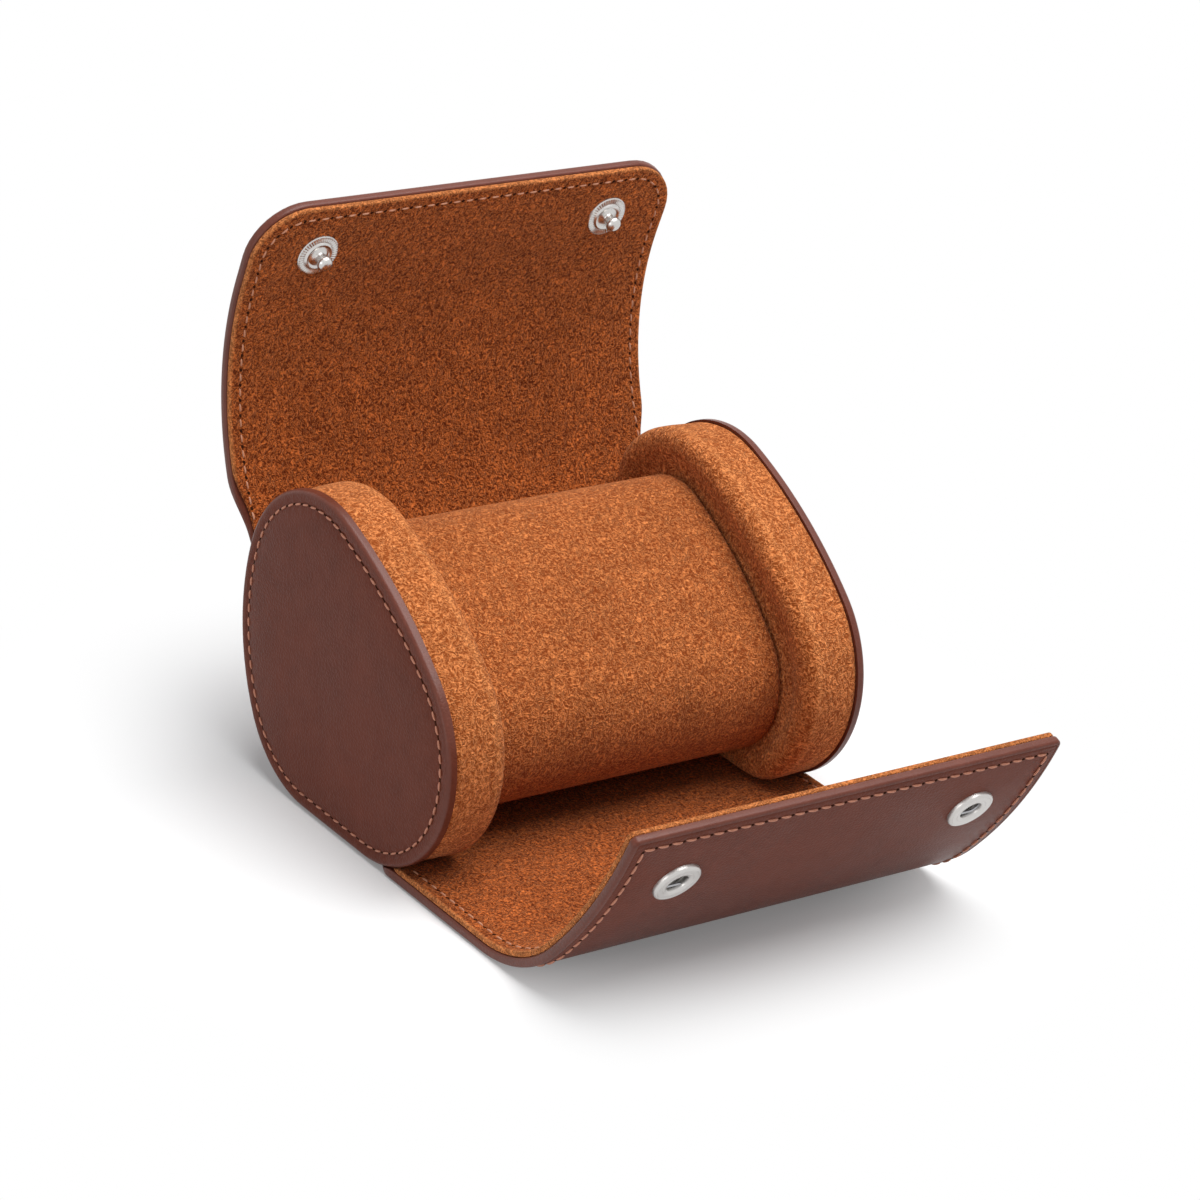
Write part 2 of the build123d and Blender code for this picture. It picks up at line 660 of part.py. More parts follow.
# the rear flap: its root passes between the caps when it is closed
closed_room = turned(ROOM, REAR_ROOT, REAR_CLOSING[0])
closed_lining_room = turned(LINING_ROOM, REAR_ROOT, REAR_CLOSING[0])
names = ("rear_flap_root", "rear_flap_lower", "rear_flap_middle", "rear_flap_tip")
for index, name in enumerate(names):
    start = REAR_BENDS[index] + HALF_GAP
    if index == 0:
        end = REAR_BENDS[1] - HALF_GAP
        leather = leather_panel(REAR, 0, end) - below_mitre
        lining = lining_panel(REAR, 0, end) - below_mitre
        PIECES[name + "_leather"] = leather - ROOM - closed_room
        PIECES[name + "_lining"] = lining - LINING_ROOM - closed_lining_room
    elif index < 3:
        end = REAR_BENDS[index + 1] - HALF_GAP
        recess = board_recess(REAR, start + HEM / 2, end - HEM / 2, HALF - HEM)
        PIECES[name + "_leather"] = leather_panel(REAR, start, end) - recess
        PIECES[name + "_board"] = board(REAR, start + HEM / 2, end - HEM / 2, HALF - HEM)
        PIECES[name + "_lining"] = lining_panel(REAR, start, end)
    else:
        holes = stud_holes()
        first, last = start + HEM / 2, REAR.length - HEM
        recess = board_recess(REAR, first, last, HALF - HEM)
        PIECES[name + "_leather"] = leather_tip(REAR, start, REAR_TIP_CORNER) - recess - holes
        PIECES[name + "_board"] = board(REAR, first, last, HALF - HEM) - holes
        PIECES[name + "_lining"] = lining_tip(REAR, start, REAR_TIP_CORNER) - holes

# the two caps
for side, piece in both_sides(cap_face()).items():
    PIECES[side + "_cap_face_leather"] = piece
for side, piece in both_sides(cap_suede()).items():
    PIECES[side + "_cap_suede"] = piece
foam = cap_pad(SUEDE + FIT, SUEDE_LIP + FIT, BOARD_INNER, PAD_EDGE_ROUND - SUEDE)
for side, piece in both_sides(foam).items():
    PIECES[side + "_cap_foam"] = piece
for side, piece in both_sides(cap_pad(SUEDE + FIT, BOARD_INNER, CAP_INNER)).items():
    PIECES[side + "_cap_board"] = piece

# the cushion
end_depth = SUEDE + CUSHION_END_BOARD
sleeve = across(cushion_outline(0), CUSHION_HALF)
sleeve = fillet(rim_at(sleeve, CUSHION_HALF) + rim_at(sleeve, -CUSHION_HALF), CUSHION_END_ROUND)
sleeve -= across(cushion_outline(SUEDE), ROLL_WIDTH)
tube_inset = SUEDE + CUSHION_FOAM
PIECES["cushion_suede_sleeve"] = sleeve
foam_half = CUSHION_HALF - end_depth - FIT
PIECES["cushion_foam"] = across(cushion_outline(SUEDE + FIT), foam_half) - across(
    cushion_outline(tube_inset), ROLL_WIDTH)
PIECES["cushion_core_tube"] = across(cushion_outline(tube_inset + FIT), foam_half) - across(
    cushion_outline(tube_inset + CUSHION_TUBE_WALL), ROLL_WIDTH)
end_suede = slab(cushion_outline(SUEDE + FIT), CUSHION_HALF - SUEDE, CUSHION_HALF)
end_board = slab(cushion_outline(SUEDE + FIT), CUSHION_HALF - end_depth, CUSHION_HALF - SUEDE - FIT)
for side, piece in both_sides(end_suede).items():
    PIECES["cushion_" + side + "_end_suede"] = piece
for side, piece in both_sides(end_board).items():
    PIECES["cushion_" + side + "_end_board"] = piece

# the press studs
SNAPS = {
    "stud": stud(),
    "stud_cap": stud_cap(),
    "socket": socket(),
    "socket_spring": socket_spring(),
    "socket_washer": socket_washer(),
}
for name, right in SNAPS.items():
    for side, piece in both_sides(right).items():
        PIECES[side + "_" + name] = piece

os.makedirs("parts", exist_ok=True)
for name, piece in PIECES.items():
    export_step(piece, "parts/" + name + ".step")

print("rear bends", [REAR.point(bend, 0) for bend in REAR_BENDS], "turn", REAR_CLOSING)
print("front bends", [FRONT.point(bend, 0) for bend in FRONT_BENDS], "turn", FRONT_CLOSING)
print("rear flap", REAR_LENGTH, "long, and the closed flaps are", SNAP_GAP, "apart at the studs")
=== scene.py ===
# %% [markdown]
# A display and travel roll for one wrist watch, dressed over its imported CAD model.
# The roll is a strip of smooth brown leather with a tan suede lining. It is wrapped round two padded end
# caps, and a suede cushion sits between them. Two press studs hold the flaps when the roll is shut.
# The CAD model gives the true place of every piece and how it moves. This script gives each piece the
# look of the real material. The discs, pads, cushion and press studs ride on the CAD body that carries
# them; the wrap's pieces and their stitches do not.

import math

import bpy
import numpy as np
from mathutils import Matrix, Vector


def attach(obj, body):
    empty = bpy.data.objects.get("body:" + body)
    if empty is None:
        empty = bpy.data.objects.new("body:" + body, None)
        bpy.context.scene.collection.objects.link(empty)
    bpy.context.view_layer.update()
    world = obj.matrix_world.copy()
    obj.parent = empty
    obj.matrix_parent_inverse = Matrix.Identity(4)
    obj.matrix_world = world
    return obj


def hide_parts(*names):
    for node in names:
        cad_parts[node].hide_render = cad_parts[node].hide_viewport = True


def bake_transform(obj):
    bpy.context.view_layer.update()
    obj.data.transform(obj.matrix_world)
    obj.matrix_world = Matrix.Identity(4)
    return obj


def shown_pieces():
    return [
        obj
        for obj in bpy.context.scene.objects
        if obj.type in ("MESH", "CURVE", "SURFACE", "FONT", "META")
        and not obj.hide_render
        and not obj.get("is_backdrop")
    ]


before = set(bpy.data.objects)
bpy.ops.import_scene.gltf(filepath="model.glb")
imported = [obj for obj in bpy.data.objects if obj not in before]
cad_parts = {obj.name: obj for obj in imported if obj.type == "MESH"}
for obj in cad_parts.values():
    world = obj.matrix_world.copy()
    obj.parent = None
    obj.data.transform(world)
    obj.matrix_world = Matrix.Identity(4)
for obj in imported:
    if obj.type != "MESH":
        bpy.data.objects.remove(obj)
bpy.context.view_layer.update()
MM = 0.001

# %% [markdown]
# The camera stands in front of the left-hand end of the roll, a little above it, and is tilted by a few
# degrees. Three angles say where it looks.

# %% Camera
CAMERA_TURN = math.radians(-39.023)  # round the vertical, from looking along +Y
CAMERA_DROP = math.radians(24.183)  # how far it looks down
CAMERA_ROLL = math.radians(7.112)  # how far it is tilted
CAMERA_PLACE = Vector((-500.40, -630.24, 404.64)) * MM
CAMERA_LENS = 128.996


def new_object(name, data):
    """An object that shows this data, put into the scene."""
    made = bpy.data.objects.new(name, data)
    bpy.context.scene.collection.objects.link(made)
    return made


camera = new_object("camera", bpy.data.cameras.new("camera"))
camera.data.sensor_width = 36
camera.data.lens = CAMERA_LENS
camera.data.clip_start, camera.data.clip_end = 0.05, 20
camera.matrix_world = (
    Matrix.Translation(CAMERA_PLACE) @ Matrix.Rotation(CAMERA_TURN, 4, "Z")
    @ Matrix.Rotation(math.pi / 2 - CAMERA_DROP, 4, "X") @ Matrix.Rotation(CAMERA_ROLL, 4, "Z")
)
bpy.context.scene.camera = camera
bpy.context.scene.view_settings.view_transform = "Standard"
print("camera at", tuple(CAMERA_PLACE), "lens", CAMERA_LENS)

# %% [markdown]
# Every look here is a tree of small shader nodes: a light path, a noise, a blend of two colours. These
# helpers add one node each, with its inputs set to values or linked to what other nodes give.

# %% Helpers for shader nodes
FLAT_PLACE = "flat_place"


def shader_tree(owner, kind):
    """The emptied node tree of a material or world, and its output node."""
    owner.use_nodes = True
    tree = owner.node_tree
    tree.nodes.clear()
    return tree, tree.nodes.new(f"ShaderNodeOutput{kind}")


def feed(tree, node, inputs):
    """Gives a node's inputs, by name or number, their values or links to other nodes' outputs."""
    for key, value in inputs.items():
        target = node.inputs[key]
        if isinstance(value, bpy.types.NodeSocket):
            tree.links.new(value, target)
        else:
            target.default_value = (*value[:3], 1) if target.type == "RGBA" else value


def add_node(tree, kind, inputs=None, **settings):
    """A new shader node with these settings and inputs."""
    node = tree.nodes.new(f"ShaderNode{kind}")
    for name, value in settings.items():
        setattr(node, name, value)
    feed(tree, node, inputs or {})
    return node


def math_node(tree, operation, *values):
    return add_node(tree, "Math", dict(enumerate(values)), operation=operation).outputs[0]


def noise(tree, vector, scale, detail, roughness, distortion=0.0):
    return add_node(tree, "TexNoise", {
        "Vector": vector, "Scale": scale,
        "Detail": detail, "Roughness": roughness, "Distortion": distortion,
    }).outputs["Fac"]


def blend_colours(tree, share, first, second):
    """The second colour as far as share says, and the first for the rest."""
    return add_node(tree, "Mix", {0: share, 6: first, 7: second}, data_type="RGBA").outputs[2]


def spread(tree, value, low, high, to_low=0.0, to_high=1.0, **settings):
    """Stretches the range from low to high onto another range, and holds its ends."""
    return add_node(tree, "MapRange", {
        "Value": value, "From Min": low, "From Max": high, "To Min": to_low, "To Max": to_high,
    }, **settings).outputs[0]


def object_vector(tree):
    return add_node(tree, "TexCoord").outputs["Object"]


def flat_vector(tree):
    """Where the point was before the piece was bent."""
    return add_node(tree, "Attribute", attribute_name=FLAT_PLACE).outputs["Vector"]


def rim_share(tree):
    """How much the point belongs to its piece's marked edge."""
    return add_node(tree, "Attribute", attribute_name="rim").outputs["Fac"]


def seen_directly(tree):
    """1 for what the camera sees straight, in a mirror or through glass."""
    path = add_node(tree, "LightPath").outputs
    seen = math_node(tree, "MAXIMUM", path["Is Camera Ray"], path["Is Glossy Ray"])
    return math_node(tree, "MAXIMUM", seen, path["Is Transmission Ray"])


def show_mix(tree, output, share, first, second):
    """Shows the second shader as far as share says, and the first for the rest."""
    mix = add_node(tree, "MixShader", {0: share, 1: first.outputs[0], 2: second.outputs[0]})
    feed(tree, output, {"Surface": mix.outputs[0]})


print("shader helpers ready")

# %% [markdown]
# The roll stands on a white table with no horizon. The camera sees it as plain white, except near the
# roll, where it is mostly diffuse paper that takes a soft shadow. A broad lamp hangs overhead, a little
# to the right and in front, and a weak one stands low on the left.

# %% Table and light
TABLE_SIZE = 6.0
TABLE_WHITE = 0.15  # how much of the table's whiteness near the roll doesn't take a shadow
PAPER_FADES = (0.066, 0.128)  # between these distances from the roll, paper turns into plain white
ROLL_MIDDLE = Vector((0, 0, 0.04))

bpy.ops.mesh.primitive_plane_add(size=TABLE_SIZE, location=(0, 0, -0.0002))
table = bpy.context.object
table.name = "table"
paper = bpy.data.materials.new("table_paper")
tree, output = shader_tree(paper, "Material")
away = add_node(tree, "VectorMath", {0: object_vector(tree)}, operation="LENGTH").outputs["Value"]
whiteness = spread(tree, away, *PAPER_FADES, TABLE_WHITE, 1.0, interpolation_type="SMOOTHSTEP")
show_mix(
    tree, output, math_node(tree, "MULTIPLY", seen_directly(tree), whiteness),
    add_node(tree, "BsdfDiffuse", {"Color": (0.86, 0.86, 0.86)}), add_node(tree, "Emission"),
)
table.data.materials.append(paper)
table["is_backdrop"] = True

world = bpy.data.worlds.new("studio")
bpy.context.scene.world = world
tree, output = shader_tree(world, "World")
show_mix(
    tree, output, seen_directly(tree),
    add_node(tree, "Background", {"Color": (0.95, 0.97, 1.0), "Strength": 0.29}),
    add_node(tree, "Background", {"Color": (1, 1, 1), "Strength": 1.0}),
)


def lamp(name, place, size, watts):
    """A round softbox that faces the middle of the roll."""
    data = bpy.data.lights.new(name, "AREA")
    data.shape, data.size, data.energy = "DISK", size, watts
    light = new_object(name, data)
    light.location = place
    light.rotation_euler = (ROLL_MIDDLE - Vector(place)).to_track_quat("-Z", "Y").to_euler()


lamp("overhead_softbox", (0.14, -0.14, 0.98), 1.0, 14.6)
lamp("left_softbox", (-1.1, -0.35, 0.22), 0.5, 1.8)
print("table and lamps are set")

# %% [markdown]
# Everything below is cut flat first and then bent, as the maker does it. On the flat piece, x runs along
# the wrap, y is the depth (0 on the suede side, negative towards the leather side), and z runs across
# the roll. Each piece keeps its flat place in an attribute, so that grain and nap follow it when it bends.

# %% Small helpers for modelling
def only(piece):
    """Selects only this piece, and makes it active."""
    if bpy.context.mode != "OBJECT":
        bpy.ops.object.mode_set(mode="OBJECT")
    bpy.ops.object.select_all(action="DESELECT")
    piece.select_set(True)
    bpy.context.view_layer.objects.active = piece
    return piece


def edit(piece, kind="VERT", action="DESELECT"):
    """Goes into edit mode, with nothing selected, or everything where action says so."""
    only(piece)
    bpy.ops.object.mode_set(mode="EDIT")
    bpy.ops.mesh.select_mode(type=kind)
    bpy.ops.mesh.select_all(action=action)


def choose(piece, kind, test):
    """Selects in edit mode the edges or faces whose middle and direction pass a test."""
    bpy.ops.mesh.select_mode(type=kind)
    bpy.ops.mesh.select_all(action="DESELECT")
    bpy.ops.object.mode_set(mode="OBJECT")
    mesh = piece.data
    if kind == "EDGE":
        for edge in mesh.edges:
            a, b = (mesh.vertices[i].co for i in edge.vertices)
            edge.select = bool(test((a + b) / 2, (b - a)))
    else:
        for face in mesh.polygons:
            face.select = bool(test(face.center, face.normal))
    bpy.ops.object.mode_set(mode="EDIT")


def leave_edit():
    bpy.ops.object.mode_set(mode="OBJECT")


def apply(piece, kind, **settings):
    """Adds a modifier with these settings and makes its result the piece's own mesh."""
    modifier = piece.modifiers.new(kind.lower(), kind)
    for name, value in settings.items():
        setattr(modifier, name, value)
    only(piece)
    bpy.ops.object.modifier_apply(modifier=modifier.name)


def settle(piece):
    """Puts the object's place into its mesh."""
    only(piece)
    bpy.ops.object.transform_apply(location=True, rotation=True, scale=True)
    return piece


def named(piece, name):
    piece.name = name
    piece.data.name = name
    return piece


def primitive(add, name, **how):
    """A new object from one of Blender's mesh primitives."""
    bpy.ops.object.select_all(action="DESELECT")
    add(**how)
    return named(bpy.context.object, name)


def copy_of(piece, name):
    twin = piece.copy()
    twin.data = piece.data.copy()
    bpy.context.scene.collection.objects.link(twin)
    return named(twin, name)


def join(pieces, name):
    only(pieces[0])
    for piece in pieces[1:]:
        piece.select_set(True)
    if len(pieces) > 1:
        bpy.ops.object.join()
    return named(pieces[0], name)


def outward(piece, merge=True):
    """Merges doubles, if asked, and makes every face point outwards."""
    edit(piece, action="SELECT")
    if merge:
        bpy.ops.mesh.remove_doubles(threshold=1e-6)
    bpy.ops.mesh.normals_make_consistent(inside=False)
    leave_edit()


def mirrored(piece, name):
    """The piece's twin on the other side of the roll."""
    twin = copy_of(piece, name)
    for vertex in twin.data.vertices:
        vertex.co.x *= -1
    outward(twin)
    return twin


def cut_all(place, normal):
    """Cuts every face of the piece in edit mode along a plane."""
    bpy.ops.mesh.select_all(action="SELECT")
    bpy.ops.mesh.bisect(plane_co=place, plane_no=normal)


def step_in(*steps):
    """Insets of the selected face by (thickness, depth) in millimetres; a positive depth stands out."""
    for thickness, depth in steps:
        bpy.ops.mesh.inset(thickness=thickness * MM, depth=depth * MM, use_even_offset=True)


def smooth(piece, degrees=40):
    only(piece)
    bpy.ops.object.shade_smooth_by_angle(angle=math.radians(degrees))


def remember_flat(piece):
    """Keeps each vertex's present place as the piece's flat place, in metres."""
    mesh = piece.data
    places = [value for vertex in mesh.vertices for value in vertex.co]
    mark = mesh.attributes.new(FLAT_PLACE, "FLOAT_VECTOR", "POINT")
    mark.data.foreach_set("vector", places)


def mark_rim(piece, closeness):
    """Keeps how much each vertex belongs to a marked edge, from 0 to 1: the leather's turned, shiny rim,
    the suede's cut, fibrous edge, painted lighter partly as a painted highlight, or a pad's lip, painted
    lighter as a painted highlight.
    """
    mesh = piece.data
    mark = mesh.attributes.new("rim", "FLOAT", "POINT")
    mark.data.foreach_set("value", [closeness(vertex.co) for vertex in mesh.vertices])


print("modelling helpers ready")

# %% [markdown]
# The wrap follows one line in side view: from the rear flap's tip, down the back of the caps, round
# their heel, along the table and up the front flap. The line is written as runs of a length and a turn,
# walked both ways from the front flap's first bend, and becomes a guide curve. A Curve modifier then
# bends any flat piece along it, exactly as a strip lies.

# %% The line that the wrap follows
FIRST_BEND = (24.679, 3.2)  # (front, up) of the front flap's first bend
FORWARD = [(29.404, 0.0), (22.916, 49.083), (38.681, 21.057)]
BACKWARD = [
    (34.679, 0.0),  # along the table
    (22.467, -57.986),  # round the heel
    (29.486, -37.543),  # up the back
    (5.261, 45.029),  # the root of the rear flap
    (0.107, 0.0),
    (56.4, -56.2),  # the open curl
    (17.816, 0.0),
]
FRONT_TIP = sum(length for length, turn in FORWARD)
REAR_TIP = -sum(length for length, turn in BACKWARD)
CURL_START = sum(length for length, turn in BACKWARD[:5])
ROOT_BEFORE_CURL = 3.0  # how far before its open curl the rear flap has its hinge line
STEP = 0.5  # between points of the line


def rear(distance):
    """The place along the wrap of a distance up the rear flap, counted from its root."""
    return -(CURL_START - ROOT_BEFORE_CURL + distance)


def walk(start, heading, runs, step):
    """Points in (front, up) along runs of (length, turn in degrees)."""
    point = Vector(start)
    points = [point.copy()]
    for length, turn in runs:
        count = max(1, round(length / step))
        bend = math.radians(turn / count)
        chord = length / count * (math.sin(bend / 2) / (bend / 2) if bend else 1)
        for index in range(count):
            angle = math.radians(heading + turn * (index + 0.5) / count)
            point = point + Vector((math.cos(angle), math.sin(angle))) * chord
            points.append(point.copy())
        heading += turn
    return points


def path_point(along, depth=0.0):
    """Where a place along the wrap is, in (front, up), and the heading there towards the front tip."""
    runs, heading = (FORWARD, 0.0) if along >= 0 else (BACKWARD, 180.0)
    point, left = Vector(FIRST_BEND), abs(along)
    for length, turn in runs:
        part = min(left, length)
        points = walk(point, heading, [(part, turn * part / length)], STEP)
        point, heading, left = points[-1], heading + turn * part / length, left - part
        if left <= 1e-9:
            break
    if along < 0:
        heading -= 180
    normal = math.radians(heading - 90)
    return point + Vector((math.cos(normal), math.sin(normal))) * depth, heading


def in_scene(point, across=0.0):
    """A (front, up) point in millimetres as a place in the scene."""
    return Vector((across * MM, -point[0] * MM, point[1] * MM))


line = walk(FIRST_BEND, 180, BACKWARD, STEP)[::-1] + walk(FIRST_BEND, 0, FORWARD, STEP)[1:]
guide_data = bpy.data.curves.new("wrap_guide", "CURVE")
guide_data.dimensions = "2D"
spline = guide_data.splines.new("POLY")
spline.points.add(len(line) - 1)
for knot, point in zip(spline.points, line):
    knot.co = (point.x * MM, point.y * MM, 0, 1)
guide = new_object("wrap_guide", guide_data)
print("wrap line:", round(FRONT_TIP - REAR_TIP, 1), "mm, root at", path_point(rear(0)))


def bend_along_wrap(piece):
    """Bends a flat piece along the wrap's line, and stands it up in the scene."""
    for vertex in piece.data.vertices:
        vertex.co.x -= REAR_TIP * MM
    apply(piece, "CURVE", object=guide, deform_axis="POS_X")
    # the guide's x is to the front, its y up
    piece.data.transform(Matrix(((0, 0, -1, 0), (-1, 0, 0, 0), (0, 1, 0, 0), (0, 0, 0, 1))))


# %% [markdown]
# A strip is cut as a flat plate. The tips' corners and its rim are rounded, the leather gets a fine
# creased line beside the rim, and the holes for the press studs' sockets are punched. It is then sliced
# across into short bands so that it bends smoothly. Between the caps the strip is narrower, because the
# caps' leather discs cover its edges there.

# %% Cutting a flat strip
LEATHER_FACE = 3.2  # how far the leather's outer face is from the suede face
LEATHER_HALF = 52.5  # half the leather's width
REAR_CORNER = 12.0  # the radius of the rear tip's corners
NARROW_BY = 2.3  # how far each edge is drawn in between the caps
NARROW_OUTSIDE = 45.0  # only what is further than this from the middle is drawn in
BAND = 1.0  # between the slices across
SLICES_ALONG = (-40, -20, 0, 20, 40)
SNAP_X = 36.3  # how far the press studs are from the middle
SOCKET_HOLE = 2.8  # the radius of the hole for a socket
SOCKET_SEAT = ((90.253, 29.953), -28.3)  # (front, up), and the angle of the axis
STUD_SEAT = ((-46.032, 105.578), -16.7)
SOCKET_ALONG = min(
    (index * 0.1 for index in range(round(FRONT_TIP * 10))),
    key=lambda along: (path_point(along, LEATHER_FACE)[0] - Vector(SOCKET_SEAT[0])).length,
)


def ramp(value, start, end):
    """Rises smoothly from 0 at start to 1 at end."""
    t = max(0.0, min(1.0, (value - start) / (end - start)))
    return t * t * (3 - 2 * t)


def flat_strip(
    name, setback, shallow, deep, rim, front_corner, rear_corner, narrow_from, narrow_to, facing, insets
):
    """A flat strip from the rear tip to the front tip, between two depths from the suede face."""
    first, last, half = REAR_TIP + setback, FRONT_TIP - setback, LEATHER_HALF - setback
    piece = primitive(bpy.ops.mesh.primitive_cube_add, name, size=1)
    piece.scale = ((last - first) * MM, (deep - shallow) * MM, 2 * half * MM)
    piece.location = ((last + first) / 2 * MM, -(shallow + deep) / 2 * MM, 0)
    settle(piece)
    edit(piece, "EDGE")
    for corner, end in ((front_corner, last), (rear_corner, first)):
        choose(piece, "EDGE", lambda c, d: abs(c.x - end * MM) < 1e-6 and abs(d.y) > 1e-6)
        bpy.ops.mesh.bevel(offset=corner * MM, segments=10, affect="EDGES")
    choose(piece, "EDGE", lambda c, d: abs(d.y) < 1e-7)
    bpy.ops.mesh.bevel(offset=rim * MM, segments=4, affect="EDGES")
    choose(piece, "FACE", lambda c, n: n.y * facing > 0.9999)
    step_in(*insets)
    leave_edit()
    for side in (-1, 1):
        punch = primitive(
            bpy.ops.mesh.primitive_cylinder_add, "punch",
            vertices=40, radius=SOCKET_HOLE * MM, depth=9 * MM, rotation=(math.pi / 2, 0, 0),
            location=(SOCKET_ALONG * MM, -LEATHER_FACE / 2 * MM, side * SNAP_X * MM),
        )
        apply(piece, "BOOLEAN", operation="DIFFERENCE", object=punch)
        bpy.data.objects.remove(punch)
    edit(piece, "EDGE")
    count = round((last - first) / BAND)
    for index in range(1, count):
        cut_all(((first + (last - first) * index / count) * MM, 0, 0), (1, 0, 0))
    for at in SLICES_ALONG:
        cut_all((0, 0, at * MM), (0, 0, 1))
    leave_edit()
    for vertex in piece.data.vertices:
        along = vertex.co.x / MM
        narrow = ramp(along, *narrow_from) - ramp(along, *narrow_to)
        if abs(vertex.co.z) > NARROW_OUTSIDE * MM:
            vertex.co.z -= math.copysign(NARROW_BY * narrow * MM, vertex.co.z)
    return piece


leather_strip = flat_strip(
    "wrap_leather", setback=0, shallow=1.2, deep=LEATHER_FACE, rim=0.6,
    front_corner=1.5, rear_corner=REAR_CORNER,
    narrow_from=(rear(18.0), rear(6.0)), narrow_to=(-9.5, -3.2),
    facing=-1, insets=((0.3, 0), (0.1, -0.1), (0.13, 0.1)),
)
lining_strip = flat_strip(
    "wrap_lining", setback=0.3, shallow=0.0, deep=1.15, rim=0.3,
    front_corner=1.3, rear_corner=11.7,
    narrow_from=(rear(20.0), rear(9.0)), narrow_to=(-6.5, -0.2),
    facing=1, insets=((0.42, 0), (0.42, 0)),
)
print("flat strips:", len(leather_strip.data.polygons), "and", len(lining_strip.data.polygons), "faces")

# %% [markdown]
# The wrap bends at seven joints, so it is divided into seven stretches. Each stretch holds one bend,
# and its ends lie where nothing turns, so that neighbours always meet.

# %% The stretches of the wrap
# name: (from, to, body before, body after, where the turning starts, where it ends)
STRETCHES = {
    "front_flap": (14.702, FRONT_TIP, "front_flap_bend", "front_flap", 14.9, 29.2),
    "front_bend": (3.676, 14.702, "front_flap_root", "front_flap_bend", 3.8, 10.9),
    "base": (rear(-5.0), 3.676, "case_body", "front_flap_root", -3.6, 3.6),
    "rear_root": (rear(7.0), rear(-5.0), "case_body", "rear_flap_root", rear(-4.8), rear(6.6)),
    "rear_lower": (rear(24.54), rear(7.0), "rear_flap_root", "rear_flap_lower", rear(7.4), rear(20.6)),
    "rear_middle": (rear(45.6), rear(24.54), "rear_flap_lower", "rear_flap_middle", rear(28.0), rear(42.1)),
    "rear_tip": (REAR_TIP, rear(45.6), "rear_flap_middle", "rear_flap_tip", rear(49.1), rear(63.2)),
}


def hang(piece, stretch):
    """Puts a piece of the wrap's place into its mesh. Its stretch's bodies and turning places are looked up
    but not used.
    """
    before, after, *turning = STRETCHES[stretch][2:]
    start, end = (in_scene(path_point(along, LEATHER_FACE / 2)[0]) for along in turning)
    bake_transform(piece)


def cut_stretch(strip, stretch, name):
    """A copy of the flat strip with only this stretch of it, its cut ends closed."""
    start, end = STRETCHES[stretch][:2]
    piece = copy_of(strip, name)
    edit(piece, "FACE")
    for at in (start, end):
        cut_all((at * MM, 0, 0), (1, 0, 0))
    choose(piece, "FACE", lambda c, n: not start * MM < c.x < end * MM)
    bpy.ops.mesh.delete(type="FACE")
    bpy.ops.mesh.select_all(action="SELECT")
    bpy.ops.mesh.fill_holes(sides=0)
    leave_edit()
    outward(piece)
    return piece


NOSE = (11.9, 26.7)  # (front, up) of the middle of a disc's round nose
NOSE_RADIUS = 26.65
DISC_INSIDE = 50.25  # what is further than this from the middle lies under the discs
PRESS_FROM, PRESS_TO, PRESS_UNDER = 8.0, 25.0, 8.0  # pressed between these places, up to this height


def press_under_discs(piece):
    """Where the wrap starts to show beside the discs' noses, its edge is pressed thin under them."""
    for vertex in piece.data.vertices:
        front, up, side = -vertex.co.y / MM, vertex.co.z / MM, abs(vertex.co.x) / MM
        if side > DISC_INSIDE and PRESS_FROM < front < PRESS_TO and up < PRESS_UNDER:
            room = NOSE[1] - math.sqrt(max(0.0, NOSE_RADIUS ** 2 - (front - NOSE[0]) ** 2))
            if up > room:
                vertex.co.z = max(0.02, room) * MM


def strip_edge(place):
    """How far inside the flat leather's outline a place is, in millimetres."""
    along, aside = place.x / MM, abs(place.z) / MM
    past, beyond = along - REAR_TIP - REAR_CORNER, aside - LEATHER_HALF + REAR_CORNER
    if past < 0 and beyond > 0:
        return REAR_CORNER - math.hypot(past, beyond)
    return min(LEATHER_HALF - aside, FRONT_TIP - along, along - REAR_TIP)


for stretch, (_, _, _, after, _, _) in STRETCHES.items():
    # a strip's kind, its slot and how far from its outline the marked edge begins and ends
    for strip, kind, slot, edge in (
        (leather_strip, "leather", "leather", (0.2, 1.1)),
        (lining_strip, "lining", "suede", (0.5, 0.9)),
    ):
        piece = cut_stretch(strip, stretch, f"{stretch}_{kind}_strip")
        remember_flat(piece)
        # on leather the marked edge takes a coat of polish; on the lining it is painted lighter, partly for
        # its cut fibres and partly as a painted highlight
        mark_rim(piece, lambda place: 1 - ramp(strip_edge(place), *edge))
        bend_along_wrap(piece)
        outward(piece)
        if stretch == "base":
            press_under_discs(piece)
            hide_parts(f"wrap_base_{kind}", f"{after}_{kind}")
        else:
            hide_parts(f"{after}_{kind}")
        smooth(piece)
        hang(piece, stretch)
        print(piece.name, len(piece.data.polygons), "faces")
for strip in (leather_strip, lining_strip):
    bpy.data.objects.remove(strip)

# %% [markdown]
# One stitch is a short bead of waxed thread whose ends dip into their needle holes. It is modelled once,
# from a small sphere drawn out along the seam, and copied along the seam at the real pitch.

# %% One stitch, and one needle hole of painted shade
STITCH_PITCH = 3.2


def bead(name, length, width, height, lift, dip, slant):
    """A round bead along x, height y, with its ends dipping and the whole turned a little by the twist."""
    made = primitive(bpy.ops.mesh.primitive_uv_sphere_add, name, segments=8, ring_count=7, radius=1)
    made.rotation_euler = (0, math.pi / 2, 0)
    settle(made)
    made.scale = (length / 2 * MM, height * MM, width * MM)
    settle(made)
    for vertex in made.data.vertices:
        along = vertex.co.x / (length / 2 * MM)
        vertex.co.y += (lift - dip * along ** 4) * MM
        vertex.co.x = math.copysign(abs(along) ** 0.8, along) * length / 2 * MM
    made.rotation_euler = (0, math.radians(slant), 0)
    return settle(made)


